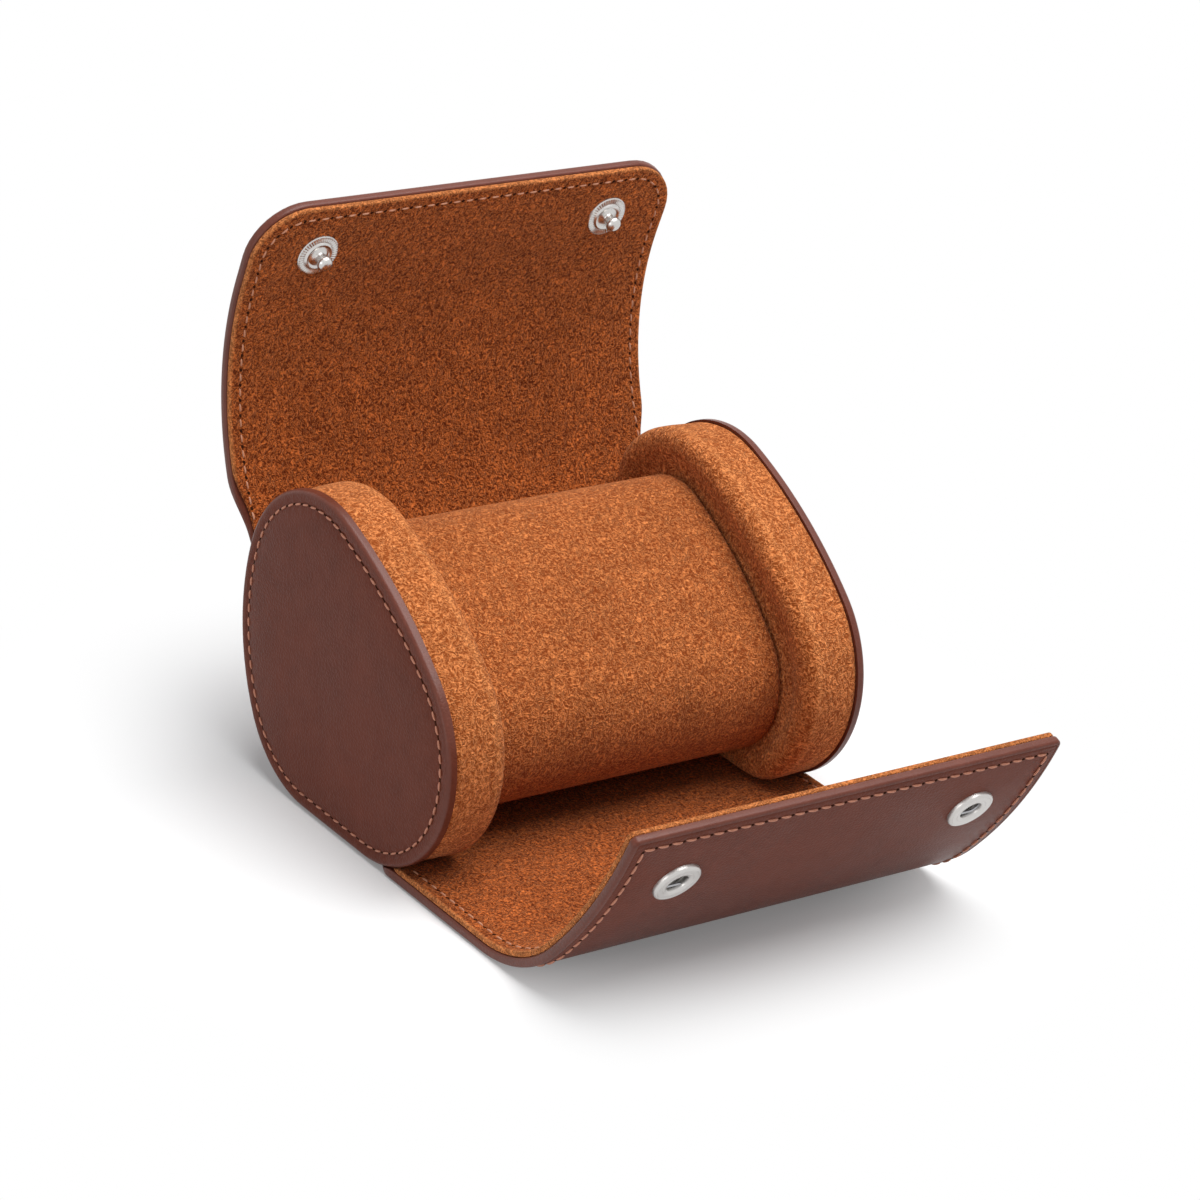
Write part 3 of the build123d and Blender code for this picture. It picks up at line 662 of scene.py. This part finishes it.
stitch = bead("one_stitch", 2.75, 0.27, 0.3, 0.08, 0.3, 7)
buried_stitch = bead("one_buried_stitch", 1.9, 0.2, 0.25, 0.05, 0.3, 4)
disc_stitch = bead("one_disc_stitch", 2.2, 0.23, 0.28, 0.05, 0.3, 5)
# a needle hole is a flat, near-black bead laid on the surface: painted shade where the hole is
painted_shade_hole = bead("one_needle_hole", 0.8, 0.3, 0.1, 0.02, 0.0, 30)
disc_shade_hole = bead("one_disc_hole", 1.5, 0.27, 0.12, 0.03, 0.0, 0)
print("one stitch:", len(stitch.data.polygons), "faces")

# %% [markdown]
# A flap's seam goes up one side, round the tip and down the other, a little inside the edge. It is sewn
# while the strip is flat, on both faces, and is then cut into the same stretches as the strip.

# %% Sewing along a seam
SEAM_INSET = 2.8


def length_of(points):
    return sum((b - a).length for a, b in zip(points, points[1:]))


def spaced(points, count, shift=0.0):
    """Evenly spaced places along a line of points, with the direction at each."""
    step, places, covered = length_of(points) / count, [], 0.0
    for a, b in zip(points, points[1:]):
        length = (b - a).length
        while len(places) < count and step * (len(places) + shift) <= covered + length:
            share = (step * (len(places) + shift) - covered) / length
            places.append((a.lerp(b, share), (b - a).normalized()))
        covered += length
    return places


def seam_round_tip(end, corner, root, half):
    """A flap's seam as flat points (along, across)."""
    toward = 1 if end > root else -1
    side = [Vector((root, half))]
    for index in range(9):
        angle = math.radians(index * 90 / 8)
        short, aside = corner * (1 - math.sin(angle)), corner * (1 - math.cos(angle))
        side.append(Vector((end - toward * short, half - aside)))
    return [Vector((p.x, -p.y)) for p in side] + side[::-1]


def sew_flat(pattern, points, depth, outward_sign, shift=0.5):
    """Copies of a pattern along a flat seam, on the face at this depth. Returns (place along, object)."""
    sewn = []
    for place, direction in spaced(points, round(length_of(points) / STITCH_PITCH), shift):
        one = copy_of(pattern, "stitch")
        turn = Matrix((
            (direction.x, 0, -direction.y, 0),
            (0, outward_sign, 0, 0),
            (direction.y, 0, direction.x, 0),
            (0, 0, 0, 1),
        ))
        one.data.transform(Matrix.Translation((place.x * MM, -depth * MM, place.y * MM)) @ turn)
        sewn.append((place.x, one))
    return sewn


seams = []
for end, corner, root in ((FRONT_TIP - SEAM_INSET, 0.4, 1.0), (REAR_TIP + SEAM_INSET, 9.0, rear(8.0))):
    seam = seam_round_tip(end, corner, root, LEATHER_HALF - SEAM_INSET)
    seams.append(("stitching", sew_flat(stitch, seam, LEATHER_FACE, -1)))
    seams.append(("lining_stitching", sew_flat(buried_stitch, seam, 0.0, 1)))
    # the needle holes on both faces are near-black beads of painted shade
    seams.append(("painted_shade_holes", sew_flat(painted_shade_hole, seam, LEATHER_FACE, -1, 0.02)))
    seams.append(("painted_shade_holes", sew_flat(painted_shade_hole, seam, 0.0, 1, 0.02)))
for kind in ("stitching", "lining_stitching", "painted_shade_holes"):
    for stretch, (start, end, *_) in STRETCHES.items():
        beads = [
            one for title, sewn in seams for along, one in sewn if title == kind and start <= along < end
        ]
        if not beads:
            continue
        thread = join(beads, f"{stretch}_{kind}")
        remember_flat(thread)
        bend_along_wrap(thread)
        for vertex in thread.data.vertices:
            vertex.co.z = max(vertex.co.z, 0.0)
        outward(thread)
        smooth(thread, 70)
        hang(thread, stretch)
        print(thread.name, len(beads), "stitches")

# %% [markdown]
# The caps and the cushion have rounded triangles for ends. Such an outline is walked like the wrap's line.
# A filled circle is laid on it, and extrudes and insets make it into a solid form.

# %% Outlines of the caps and the cushion
CAP_OUTLINE = ((11.9, 0.2), [
    (64.328, 139.083), (39.698, 21.662), (41.480, 95.448), (38.388, 45.822), (25.504, 57.986), (21.9, 0)
])
CUSHION_OUTLINE = ((11.2, 7.6), [
    (40.652, 135.417), (36.263, 21.871), (24.358, 91.818), (33.059, 49.845), (18.327, 61.049), (20.7, 0)
])


def ring_points(outline, count, inset=0.0):
    """Evenly spaced points (front, up) along a closed outline, moved inwards, with their headings."""
    start, runs = outline
    line = walk(start, 0, runs, 0.05)
    return [(place + Vector((-d.y, d.x)) * inset, d) for place, d in spaced(line, count)], length_of(line)


def filled_outline(name, points, x, side):
    """A filled outline across the roll at x that faces this side, in edit mode with its face selected."""
    add = bpy.ops.mesh.primitive_circle_add
    piece = primitive(add, name, vertices=len(points), radius=1, fill_type="NGON")
    for vertex, point in zip(piece.data.vertices, points):
        vertex.co = in_scene(point, x)
    outward(piece, merge=False)
    if piece.data.polygons[0].normal.x * side < 0:
        edit(piece, "FACE", "SELECT")
        bpy.ops.mesh.flip_normals()
        leave_edit()
    edit(piece, "FACE", "SELECT")
    return piece


def draw_out(distance, layers=1):
    """Extrudes the selected face along x, in equal layers."""
    for _ in range(layers):
        bpy.ops.mesh.extrude_region_move(TRANSFORM_OT_translate={"value": (distance / layers * MM, 0, 0)})


def round_over(radius, segments):
    """Insets that round a face's edge over to a quarter circle."""
    for index in range(segments):
        a, b = (math.radians(90 * i / segments) for i in (index, index + 1))
        step_in((radius * (math.cos(a) - math.cos(b)), radius * (math.sin(b) - math.sin(a))))


def nearest(line, place):
    """The number of the line's point that is nearest to a (front, up) place, and its distance."""
    away = np.hypot(*(line - place).T)
    return int(away.argmin()), float(away.min())


def place_on_side(co):
    """A vertex's (front, up) in millimetres."""
    return -co.y / MM, co.z / MM


print("the caps are", round(ring_points(CAP_OUTLINE, 1)[1], 1), "mm round")

# %% [markdown]
# A cap's end is a leather disc. Its edge is turned over a board, so it has a full, shiny rim. Inside the
# rim a row of stitches pulls the leather down into a shallow channel, and the middle stands up a little
# over its thin padding.

# %% Leather discs
DISC_POINTS = 396
DISC_PLANE = 50.4  # the disc's inner plane, from the middle of the roll
DISC_EDGE = 1.05  # the edge's straight part, and the radius of its rounding
disc_ring, disc_girth = ring_points(CAP_OUTLINE, DISC_POINTS)
disc = filled_outline("left_disc", [p for p, d in disc_ring], -DISC_PLANE, -1)
draw_out(-DISC_EDGE)
round_over(DISC_EDGE, 6)
step_in((0.75, 0.0), (0.35, -0.05), (0.4, -0.13), (0.4, 0.0), (0.4, 0.14), (0.5, 0.09))
step_in((0.8, 0.09), (1.2, 0.09), (1.6, 0.08), (2.2, 0.07), (3.0, 0.05), (4.0, 0.03), (4.5, 0.01))
leave_edit()
print("disc:", len(disc.data.polygons), "faces, girth", round(disc_girth, 1), "mm")

# %% [markdown]
# The seam runs in the channel. Each stitch draws the leather in a little, so the edge is gathered between
# its needle holes. The right-hand disc is the left one's mirror image.

# %% Stitches and gathers on the discs
SEAM_RING = 3.0  # how far inside the outline the seam is
GATHER_OUTSIDE = 51.9  # only what is further out than this is gathered
GATHER_DEPTH, GATHER_REACH = 0.10, 1.5
disc_stitches = round(disc_girth / STITCH_PITCH)
# stitches and needle holes take turns, each with its own level across the roll; the holes are painted shade
patterns = ((disc_stitch, -52.36, "stitching"), (disc_shade_hole, -52.26, "painted_shade_holes"))
sewn = {"stitching": [], "painted_shade_holes": []}
for index, (place, direction) in enumerate(ring_points(CAP_OUTLINE, 2 * disc_stitches, SEAM_RING)[0]):
    pattern, level, kind = patterns[index % 2]
    one = copy_of(pattern, "stitch")
    along, out = Vector((0, -direction.x, direction.y)), Vector((-1, 0, 0))
    turn = Matrix((along, out, along.cross(out))).transposed().to_4x4()
    one.data.transform(Matrix.Translation(in_scene(place, level)) @ turn)
    sewn[kind].append(one)
seam_pieces = [join(beads, f"left_disc_{kind}") for kind, beads in sewn.items()]
for piece in seam_pieces:
    outward(piece)

disc_line = np.array([(p.x, p.y) for p, d in disc_ring])
for vertex in disc.data.vertices:
    # a shallow pucker between stitches, fading inwards and outwards
    index, inset = nearest(disc_line, place_on_side(vertex.co))
    if vertex.co.x < -GATHER_OUTSIDE * MM:
        pull = 0.5 + 0.5 * math.cos(2 * math.pi * index / DISC_POINTS * disc_stitches)
        reach = math.exp(-((inset - SEAM_RING) / GATHER_REACH) ** 2)
        vertex.co.x += GATHER_DEPTH * MM * pull * reach
mark_rim(disc, lambda co: 1 - ramp(nearest(disc_line, place_on_side(co))[1], 0.3, 1.3))
outward(disc, merge=False)
for piece in (disc, *seam_pieces):
    twin = mirrored(piece, piece.name.replace("left", "right"))
    for part, side in ((piece, "left"), (twin, "right")):
        remember_flat(part)
        smooth(part, 60)
        if piece is disc:
            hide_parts(f"{side}_cap_face_leather")
        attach(part, "case_body")
print("discs and", disc_stitches, "stitches each")

# %% [markdown]
# Behind each disc is a suede pad. Its outline is the cap's, taken in where the wrap passes behind and
# under it, and its inner edge is well rounded, because the suede is pulled over foam.

# %% Pads
PAD_POINTS = 330
PAD_PLANE = 50.3  # the pad's outer plane, just inside the disc
PAD_SIDE, PAD_ROUNDING = 9.6, 3.0
PAD_FLARE = 0.35
WRAP_FLOOR = 3.42  # how high the wrap's inner face is on the table
HEEL_START = -10.0  # where it leaves the table
ROOT_LEVEL, WRAP_ROOT = 44.5, -34.85  # from this height up it is at this place
# Between these it runs in arcs: (middle, radius, for points behind this place, under this height).
WRAP_ARCS = (
    (Vector((HEEL_START, 25.4)), 21.98, HEEL_START, 16.0),
    (Vector((9.332, 37.487)), 44.78, -20.0, ROOT_LEVEL),
)


def inside_wrap(point):
    """Moves a point of the pad's outline clear of the wrap that holds it."""
    p = Vector(point)
    if p.x > HEEL_START:
        p.y = max(p.y, WRAP_FLOOR)
    for middle, radius, behind, under in WRAP_ARCS:
        if p.x <= behind and p.y < under and (p - middle).length > radius:
            p = middle + (p - middle).normalized() * radius
    if p.y >= ROOT_LEVEL:
        p.x = max(p.x, WRAP_ROOT)
    return p


def soften(points, rounds):
    """Evens out a closed line of points, so that its kinks become small curves."""
    for _ in range(rounds):
        before, after = points[-1:] + points[:-1], points[1:] + points[:1]
        points = [p * 0.5 + (a + b) * 0.25 for p, a, b in zip(points, before, after)]
    return points


pad_ring = ring_points(CAP_OUTLINE, PAD_POINTS, 0.25)[0]
pad_line = soften([inside_wrap(p) for p, d in pad_ring], 40)
pad = filled_outline("right_pad", pad_line, PAD_PLANE, -1)
draw_out(-PAD_SIDE, 12)
round_over(PAD_ROUNDING, 8)
step_in((0.8, 0.0), (0.9, -0.2), (0.9, -0.45), (0.9, -0.4), (0.9, -0.25), (2.2, 0.0), (2.6, 0.0))
leave_edit()
pad_array = np.array([(p.x, p.y) for p in pad_line])
pad_out, pad_room = [], []
for index, p in enumerate(pad_line):
    along = pad_line[(index + 1) % PAD_POINTS] - pad_line[index - 1]
    out = Vector((along.y, -along.x)).normalized()
    room = (inside_wrap(p + out * PAD_FLARE) - p).dot(out) / PAD_FLARE
    pad_out.append(out)
    pad_room.append(max(0.0, min(1.0, room)))
pad_room = soften([min(pad_room[(index + step) % PAD_POINTS] for step in range(-8, 9))
                   for index in range(PAD_POINTS)], 30)


def pad_depth(co):
    """How far a vertex is from the disc."""
    return PAD_PLANE - co.x / MM


def flare(depth, room):
    """How far the pad stands out at this depth from the disc: tucked in beside it, fullest at its lip."""
    return -0.3 * (1 - ramp(depth, 0.0, 0.9)) + PAD_FLARE * room * ramp(depth, 1.0, 8.5)


def lip(depth):
    """1 along the pad's lip, fading to both sides."""
    return ramp(depth, 8.6, 9.8) - ramp(depth, 9.8, 11.0)


for vertex in pad.data.vertices:
    here = Vector((-vertex.co.y, vertex.co.z)) / MM
    index, inset = nearest(pad_array, tuple(here))
    reach = flare(pad_depth(vertex.co), pad_room[index]) * (1 - ramp(inset, 0.5, 7.0))
    moved = here + pad_out[index] * reach
    vertex.co.y, vertex.co.z = -moved.x * MM, moved.y * MM
# the pad's lip is marked so that the suede paints it lighter: a painted highlight along its crest
mark_rim(pad, lambda co: 0.7 * lip(pad_depth(co)))
outward(pad)
left_pad = mirrored(pad, "left_pad")
print("pad:", len(pad.data.polygons), "faces")

# %% [markdown]
# The cushion is a padded sleeve of suede with soft rounded ends. The watch is strapped round it.

# %% Cushion
CUSHION_POINTS = 220
CUSHION_HALF, CUSHION_ROUNDING = 38.7, 1.4
cushion_ring, cushion_girth = ring_points(CUSHION_OUTLINE, CUSHION_POINTS)
cushion = filled_outline("cushion_sleeve", [p for p, d in cushion_ring], 0, 1)
draw_out(CUSHION_HALF - CUSHION_ROUNDING, 40)
round_over(CUSHION_ROUNDING, 5)
step_in(*((thickness, 0.0) for thickness in (0.8, 1.0, 1.2, 1.6, 2.0, 2.5)))
choose(cushion, "FACE", lambda c, n: abs(c.x) < 1e-7 and abs(n.x) > 0.9)
bpy.ops.mesh.delete(type="ONLY_FACE")
leave_edit()
apply(cushion, "MIRROR", use_axis=(True, False, False), merge_threshold=1e-5)
outward(cushion)
print("cushion:", len(cushion.data.polygons), "faces, girth", round(cushion_girth, 1), "mm")

for piece, body, nodes_for, fill in (
    (cushion, "watch_cushion",
     ["cushion_suede_sleeve", "cushion_left_end_suede", "cushion_right_end_suede"], 0.85),
    (pad, "case_body", ["right_cap_suede"], 0.9),
    (left_pad, "case_body", ["left_cap_suede"], 0.9),
):
    remember_flat(piece)
    smooth(piece, 60)
    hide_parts(*nodes_for)
    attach(piece, body)

# %% [markdown]
# The press studs are turned and stamped metal, so each is a profile spun round its axis. The stud has a
# thin flange with fine radial teeth that grip, a raised ring and a ball-headed post. The socket is a flat
# ring round a bore, with two fine turned lines.

# %% Press studs and sockets
def spun(name, profile, steps):
    """A closed profile of (radius, height) points in millimetres, spun round z."""
    mesh = bpy.data.meshes.new(name)
    mesh.from_pydata(
        [(radius * MM, 0, height * MM) for radius, height in profile],
        [(index, index + 1) for index in range(len(profile) - 1)],
        [],
    )
    piece = new_object(name, mesh)
    edit(piece, action="SELECT")
    bpy.ops.mesh.spin(steps=steps, angle=2 * math.pi, center=(0, 0, 0), axis=(0, 0, 1))
    leave_edit()
    outward(piece)
    return piece


def seat(piece, place, side):
    """Stands a spun piece on its seat on one side of the roll."""
    point, degrees = place
    angle = math.radians(degrees)
    axis = Vector((0, -math.cos(angle), math.sin(angle)))
    across = Vector((1, 0, 0))
    turn = Matrix((across, axis.cross(across), axis)).transposed().to_4x4()
    piece.data.transform(Matrix.Translation(in_scene(point, side * SNAP_X)) @ turn)
    outward(piece)


TEETH = 44
TOOTH_DEPTH = 0.2
stud_pattern = spun("stud_pattern", [
    (0, 4.2), (0.7, 4.14), (1.25, 3.88), (1.6, 3.42), (1.7, 2.95), (1.58, 2.5), (1.25, 2.2), (1.05, 1.95),
    (1.05, 1.3), (1.2, 1.0), (1.55, 0.82), (2.0, 0.5), (2.3, 0.46), (2.6, 0.72), (2.9, 0.78), (3.15, 0.6),
    (3.3, 0.42), (3.75, 0.5), (4.2, 0.46), (4.5, 0.36), (4.72, 0.2), (4.75, 0.0), (4.6, -0.15), (0, -0.15),
], 2 * TEETH)
for vertex in stud_pattern.data.vertices:
    radius = math.hypot(vertex.co.x, vertex.co.y) / MM
    if 3.4 < radius < 4.3 and vertex.co.z > 0:
        turn = math.atan2(vertex.co.y, vertex.co.x) / (2 * math.pi) * 2 * TEETH
        vertex.co.z -= (TOOTH_DEPTH if round(turn) % 2 else 0.0) * MM
socket_pattern = spun("socket_pattern", [
    (2.3, -3.0), (2.3, -0.85), (2.75, -0.8), (2.75, -0.2), (2.3, -0.15), (2.3, 0.45), (2.42, 0.72),
    (2.7, 0.88), (3.2, 0.93), (3.28, 0.86), (3.36, 0.93), (4.3, 0.94), (4.38, 0.87), (4.46, 0.93),
    (4.7, 0.9), (4.95, 0.76), (5.08, 0.5), (5.1, -0.15), (3.3, -0.15), (3.3, -3.0), (2.3, -3.0),
], 72)
for side, title in ((-1, "left"), (1, "right")):
    for pattern, place, kind, body in (
        (stud_pattern, STUD_SEAT, "stud", "rear_flap_tip"),
        (socket_pattern, SOCKET_SEAT, "socket", "front_flap"),
    ):
        piece = copy_of(pattern, f"{title}_turned_{kind}")
        seat(piece, place, side)
        smooth(piece, 35)
        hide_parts(f"{title}_{kind}")
        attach(piece, body)
for pattern in (stud_pattern, socket_pattern):
    bpy.data.objects.remove(pattern)
print("press studs in place")

# %% [markdown]
# Leather shows the hide's closed, polished grain, and suede its brushed flesh side. Both effects are node
# groups that read the flat place, so the same grain runs on from stretch to stretch.

# %% The two hide effects
def new_group(name, inputs, outputs):
    """A node group with these inputs and outputs: its tree, what it is given and where its results go."""
    group = bpy.data.node_groups.new(name, "ShaderNodeTree")
    for title, kind in inputs:
        group.interface.new_socket(name=title, in_out="INPUT", socket_type=f"NodeSocket{kind}")
    for title in outputs:
        group.interface.new_socket(name=title, in_out="OUTPUT", socket_type="NodeSocketFloat")
    return group, group.nodes.new("NodeGroupInput").outputs, group.nodes.new("NodeGroupOutput")


def strands(tree, place, scale, turns, shift):
    """Thin curling lines: the level lines of a soft noise, broken up along their length."""
    moved = add_node(tree, "VectorMath", {0: place, 1: shift}, operation="ADD").outputs[0]
    waves = math_node(tree, "MULTIPLY", noise(tree, moved, scale, 1.5, 0.5, 1.2), turns)
    lines = spread(tree, math_node(tree, "PINGPONG", waves, 0.5), 0.16, 0.46)
    broken = spread(tree, noise(tree, moved, 1300.0, 1.0, 0.5), 0.38, 0.52)
    return math_node(tree, "MULTIPLY", lines, broken)


nap, given, result = new_group(
    "suede_nap", (("Place", "Vector"), ("Fibre", "Float")), ("Height", "Tone", "Patch"),
)
place, fibre = given["Place"], given["Fibre"]
fibres = math_node(nap, "MULTIPLY", strands(nap, place, fibre, 6.5, (0.0, 0.0, 0.0)), 0.5)
for turns, shift, weight in ((6.0, (0.37, 0.21, 0.11), 0.45), (5.5, (0.71, 0.43, 0.29), 0.35)):
    fibres = math_node(nap, "MULTIPLY_ADD", strands(nap, place, fibre, turns, shift), weight, fibres)
height = math_node(nap, "MULTIPLY_ADD", noise(nap, place, 2600.0, 2.0, 0.6), 0.25, fibres)
feed(nap, result, {
    "Height": height,
    "Tone": spread(nap, height, 0.1, 1.15),
    "Patch": spread(nap, noise(nap, place, 60.0, 3.0, 0.6, 0.6), 0.3, 0.7),
})

grain, given, result = new_group("leather_grain", [("Place", "Vector")], ("Height", "Tone", "Cloud"))
place = given["Place"]
pebbles = add_node(grain, "TexVoronoi", {"Vector": place, "Scale": 1100.0}, feature="DISTANCE_TO_EDGE")
creases = spread(grain, pebbles.outputs["Distance"], 0.0, 0.22)
clouds = noise(grain, place, 45.0, 4.0, 0.6, 0.5)
tone = math_node(grain, "MULTIPLY", clouds, 0.4)
tone = math_node(grain, "MULTIPLY_ADD", noise(grain, place, 240.0, 4.0, 0.65, 0.3), 0.4, tone)
tone = math_node(grain, "MULTIPLY_ADD", noise(grain, place, 1400.0, 2.0, 0.6), 0.2, tone)
feed(grain, result, {
    "Height": math_node(grain, "MULTIPLY_ADD", noise(grain, place, 2600.0, 2.0, 0.5), 0.5, creases),
    "Tone": spread(grain, tone, 0.35, 0.65),
    "Cloud": spread(grain, clouds, 0.35, 0.65),
})
print("node groups:", [group.name for group in bpy.data.node_groups])

# %% [markdown]
# The leather is dark and closed, with a thin coat of polish on its turned edges. The suede is light curled
# fibre over the dark skin between. Its cut edges are painted lighter, partly for their loose fibres and
# partly as a painted highlight, and the pads' lips are painted lighter as a painted highlight. The pads'
# suede is painted lighter and the lining's darker than the cushion's, as painted light and painted shade.
# Thread, holes, metal, board and foam each follow one fine noise; the needle holes' near-black colour is
# painted shade.

# %% Materials of hide, thread and metal
THREAD_PLY = (1500.0, 2.0, 0.5)  # scale, detail and roughness of a thread's noise


def principled(name, roughness, **fixed):
    """A plain material, with its tree and its shader. An input's name has _ for each space."""
    material = bpy.data.materials.new(name)
    tree, output = shader_tree(material, "Material")
    inputs = {title.replace("_", " "): value for title, value in fixed.items()}
    shader = add_node(tree, "BsdfPrincipled", {"Roughness": roughness, **inputs})
    feed(tree, output, {"Surface": shader.outputs[0]})
    return material, tree, shader


def bump(tree, height, distance, strength=1.0):
    inputs = {"Height": height, "Distance": distance, "Strength": strength}
    return add_node(tree, "Bump", inputs).outputs["Normal"]


leather, tree, shader = principled("brown_leather", 0.4, Specular_IOR_Level=0.08)
hide = add_node(tree, "Group", {"Place": flat_vector(tree)}, node_tree=grain).outputs
feed(tree, shader, {
    "Base Color": blend_colours(tree, hide["Tone"], (0.102, 0.025, 0.0135), (0.141, 0.038, 0.023)),
    "Roughness": spread(tree, hide["Cloud"], 0, 1, 0.36, 0.47),
    "Coat Weight": math_node(tree, "MULTIPLY", rim_share(tree), 0.45),
    "Coat Roughness": 0.32,
    "Coat IOR": 1.45,
    "Normal": bump(tree, hide["Height"], 0.00006, 0.7),
})


def suede_material(name, fibre, dark, light):
    """Brushed suede: light curled fibres over the dark skin between them."""
    material, tree, shader = principled(
        name, 0.95, Sheen_Weight=0.22, Sheen_Roughness=0.5, Sheen_Tint=(1.0, 0.62, 0.36),
        Specular_IOR_Level=0.03,
    )
    inputs = {"Place": flat_vector(tree), "Fibre": fibre}
    brushed = add_node(tree, "Group", inputs, node_tree=nap).outputs
    ends = (
        blend_colours(tree, brushed["Patch"], colour, tuple(value * 1.2 for value in colour))
        for colour in (dark, light)
    )
    skin = blend_colours(tree, brushed["Tone"], *ends)
    # the marked edge is painted light orange: on the lining's cut edges partly the loose fibres' own colour
    # and partly a painted highlight, on a pad's lip a painted highlight
    edge_lightening = math_node(tree, "MULTIPLY_ADD", brushed["Tone"], 0.42, 0.16)
    cut_edge_and_painted_highlight = math_node(tree, "MULTIPLY", rim_share(tree), edge_lightening)
    feed(tree, shader, {
        "Base Color": blend_colours(tree, cut_edge_and_painted_highlight, skin, (0.88, 0.35, 0.12)),
        "Normal": bump(tree, brushed["Height"], 0.0003, 0.9),
    })
    return material


# one suede in three tones: the pads' is painted lighter, as painted light where the overhead lamp falls on
# them, and the lining's darker and redder, as painted shade
shaded_lining_suede = suede_material("shaded_lining_suede", 480.0, (0.075, 0.009, 0.001), (0.66, 0.165, 0.036))
lit_pad_suede = suede_material("lit_pad_suede", 400.0, (0.21, 0.044, 0.008), (0.84, 0.290, 0.092))
cushion_suede = suede_material("cushion_suede", 480.0, (0.17, 0.032, 0.006), (0.73, 0.235, 0.068))


def mottled(name, roughness, place, pattern, dark, light, relief=None, **fixed):
    """A material whose colour, and height where it has relief, follow one fine noise."""
    material, tree, shader = principled(name, roughness, **fixed)
    spots = noise(tree, place(tree), *pattern)
    feed(tree, shader, {"Base Color": blend_colours(tree, spots, dark, light)})
    if relief:
        feed(tree, shader, {"Normal": bump(tree, spots, *relief)})
    return material


thread = mottled(
    "waxed_thread", 0.55, flat_vector, THREAD_PLY, (0.34, 0.115, 0.060), (0.56, 0.24, 0.15), (0.0001, 0.6),
)
pale_thread = mottled("pale_thread", 0.6, flat_vector, THREAD_PLY, (0.40, 0.15, 0.07), (0.62, 0.30, 0.18))
# the needle holes' near-black colour is painted shade, standing in for the dark inside each hole
hole = mottled(
    "painted_shade_hole", 0.9, flat_vector, THREAD_PLY, (0.018, 0.005, 0.002), (0.04, 0.012, 0.005),
    Specular_IOR_Level=0.05,
)
steel = mottled(
    "spring_wire", 0.3, object_vector, (1400.0, 3.0, 0.5), (0.34, 0.34, 0.36), (0.48, 0.48, 0.49),
    (0.00002, 0.4), Metallic=1.0,
)
board = mottled(
    "grey_board", 0.9, object_vector, (500.0, 5.0, 0.6), (0.30, 0.27, 0.22), (0.42, 0.38, 0.32),
    (0.0001, 0.5),
)
foam = mottled(
    "open_foam", 0.95, object_vector, (1200.0, 3.0, 0.7), (0.45, 0.43, 0.38), (0.75, 0.73, 0.68),
    (0.0004, 0.8),
)


def nickel_plate(name, smoothest, roughest):
    """Plated metal whose rubbed spots are paler and rougher."""
    material, tree, shader = principled(name, smoothest, Metallic=1.0)
    rub = noise(tree, object_vector(tree), 500.0, 4.0, 0.6)
    feed(tree, shader, {
        "Base Color": blend_colours(tree, rub, (0.56, 0.54, 0.52), (0.66, 0.64, 0.62)),
        "Roughness": spread(tree, rub, 0.3, 0.7, smoothest, roughest),
    })
    return material


bright_nickel = nickel_plate("bright_nickel", 0.22, 0.32)
satin_nickel = nickel_plate("satin_nickel", 0.3, 0.42)
print("materials:", [material.name for material in bpy.data.materials])

# %% [markdown]
# Each piece takes the finish of the first word in a list that its name holds.

# %% Dress every piece
FINISHES = (
    ("spring", steel), ("washer", bright_nickel), ("stud", bright_nickel), ("socket", satin_nickel),
    ("board", board), ("tube", board), ("foam", foam), ("lining_stitching", pale_thread),
    ("holes", hole), ("stitch", thread), ("leather", leather), ("disc", leather), ("pad", lit_pad_suede),
    ("cushion", cushion_suede), ("", shaded_lining_suede),
)
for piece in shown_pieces():
    finish = next(finish for word, finish in FINISHES if word in piece.name)
    if not piece.material_slots:
        piece.data.materials.append(finish)
    for held in piece.material_slots:
        held.material = finish
for pattern in (stitch, buried_stitch, disc_stitch, painted_shade_hole, disc_shade_hole, guide):
    bpy.data.objects.remove(pattern)

# %% Update the scene
bpy.context.view_layer.update()
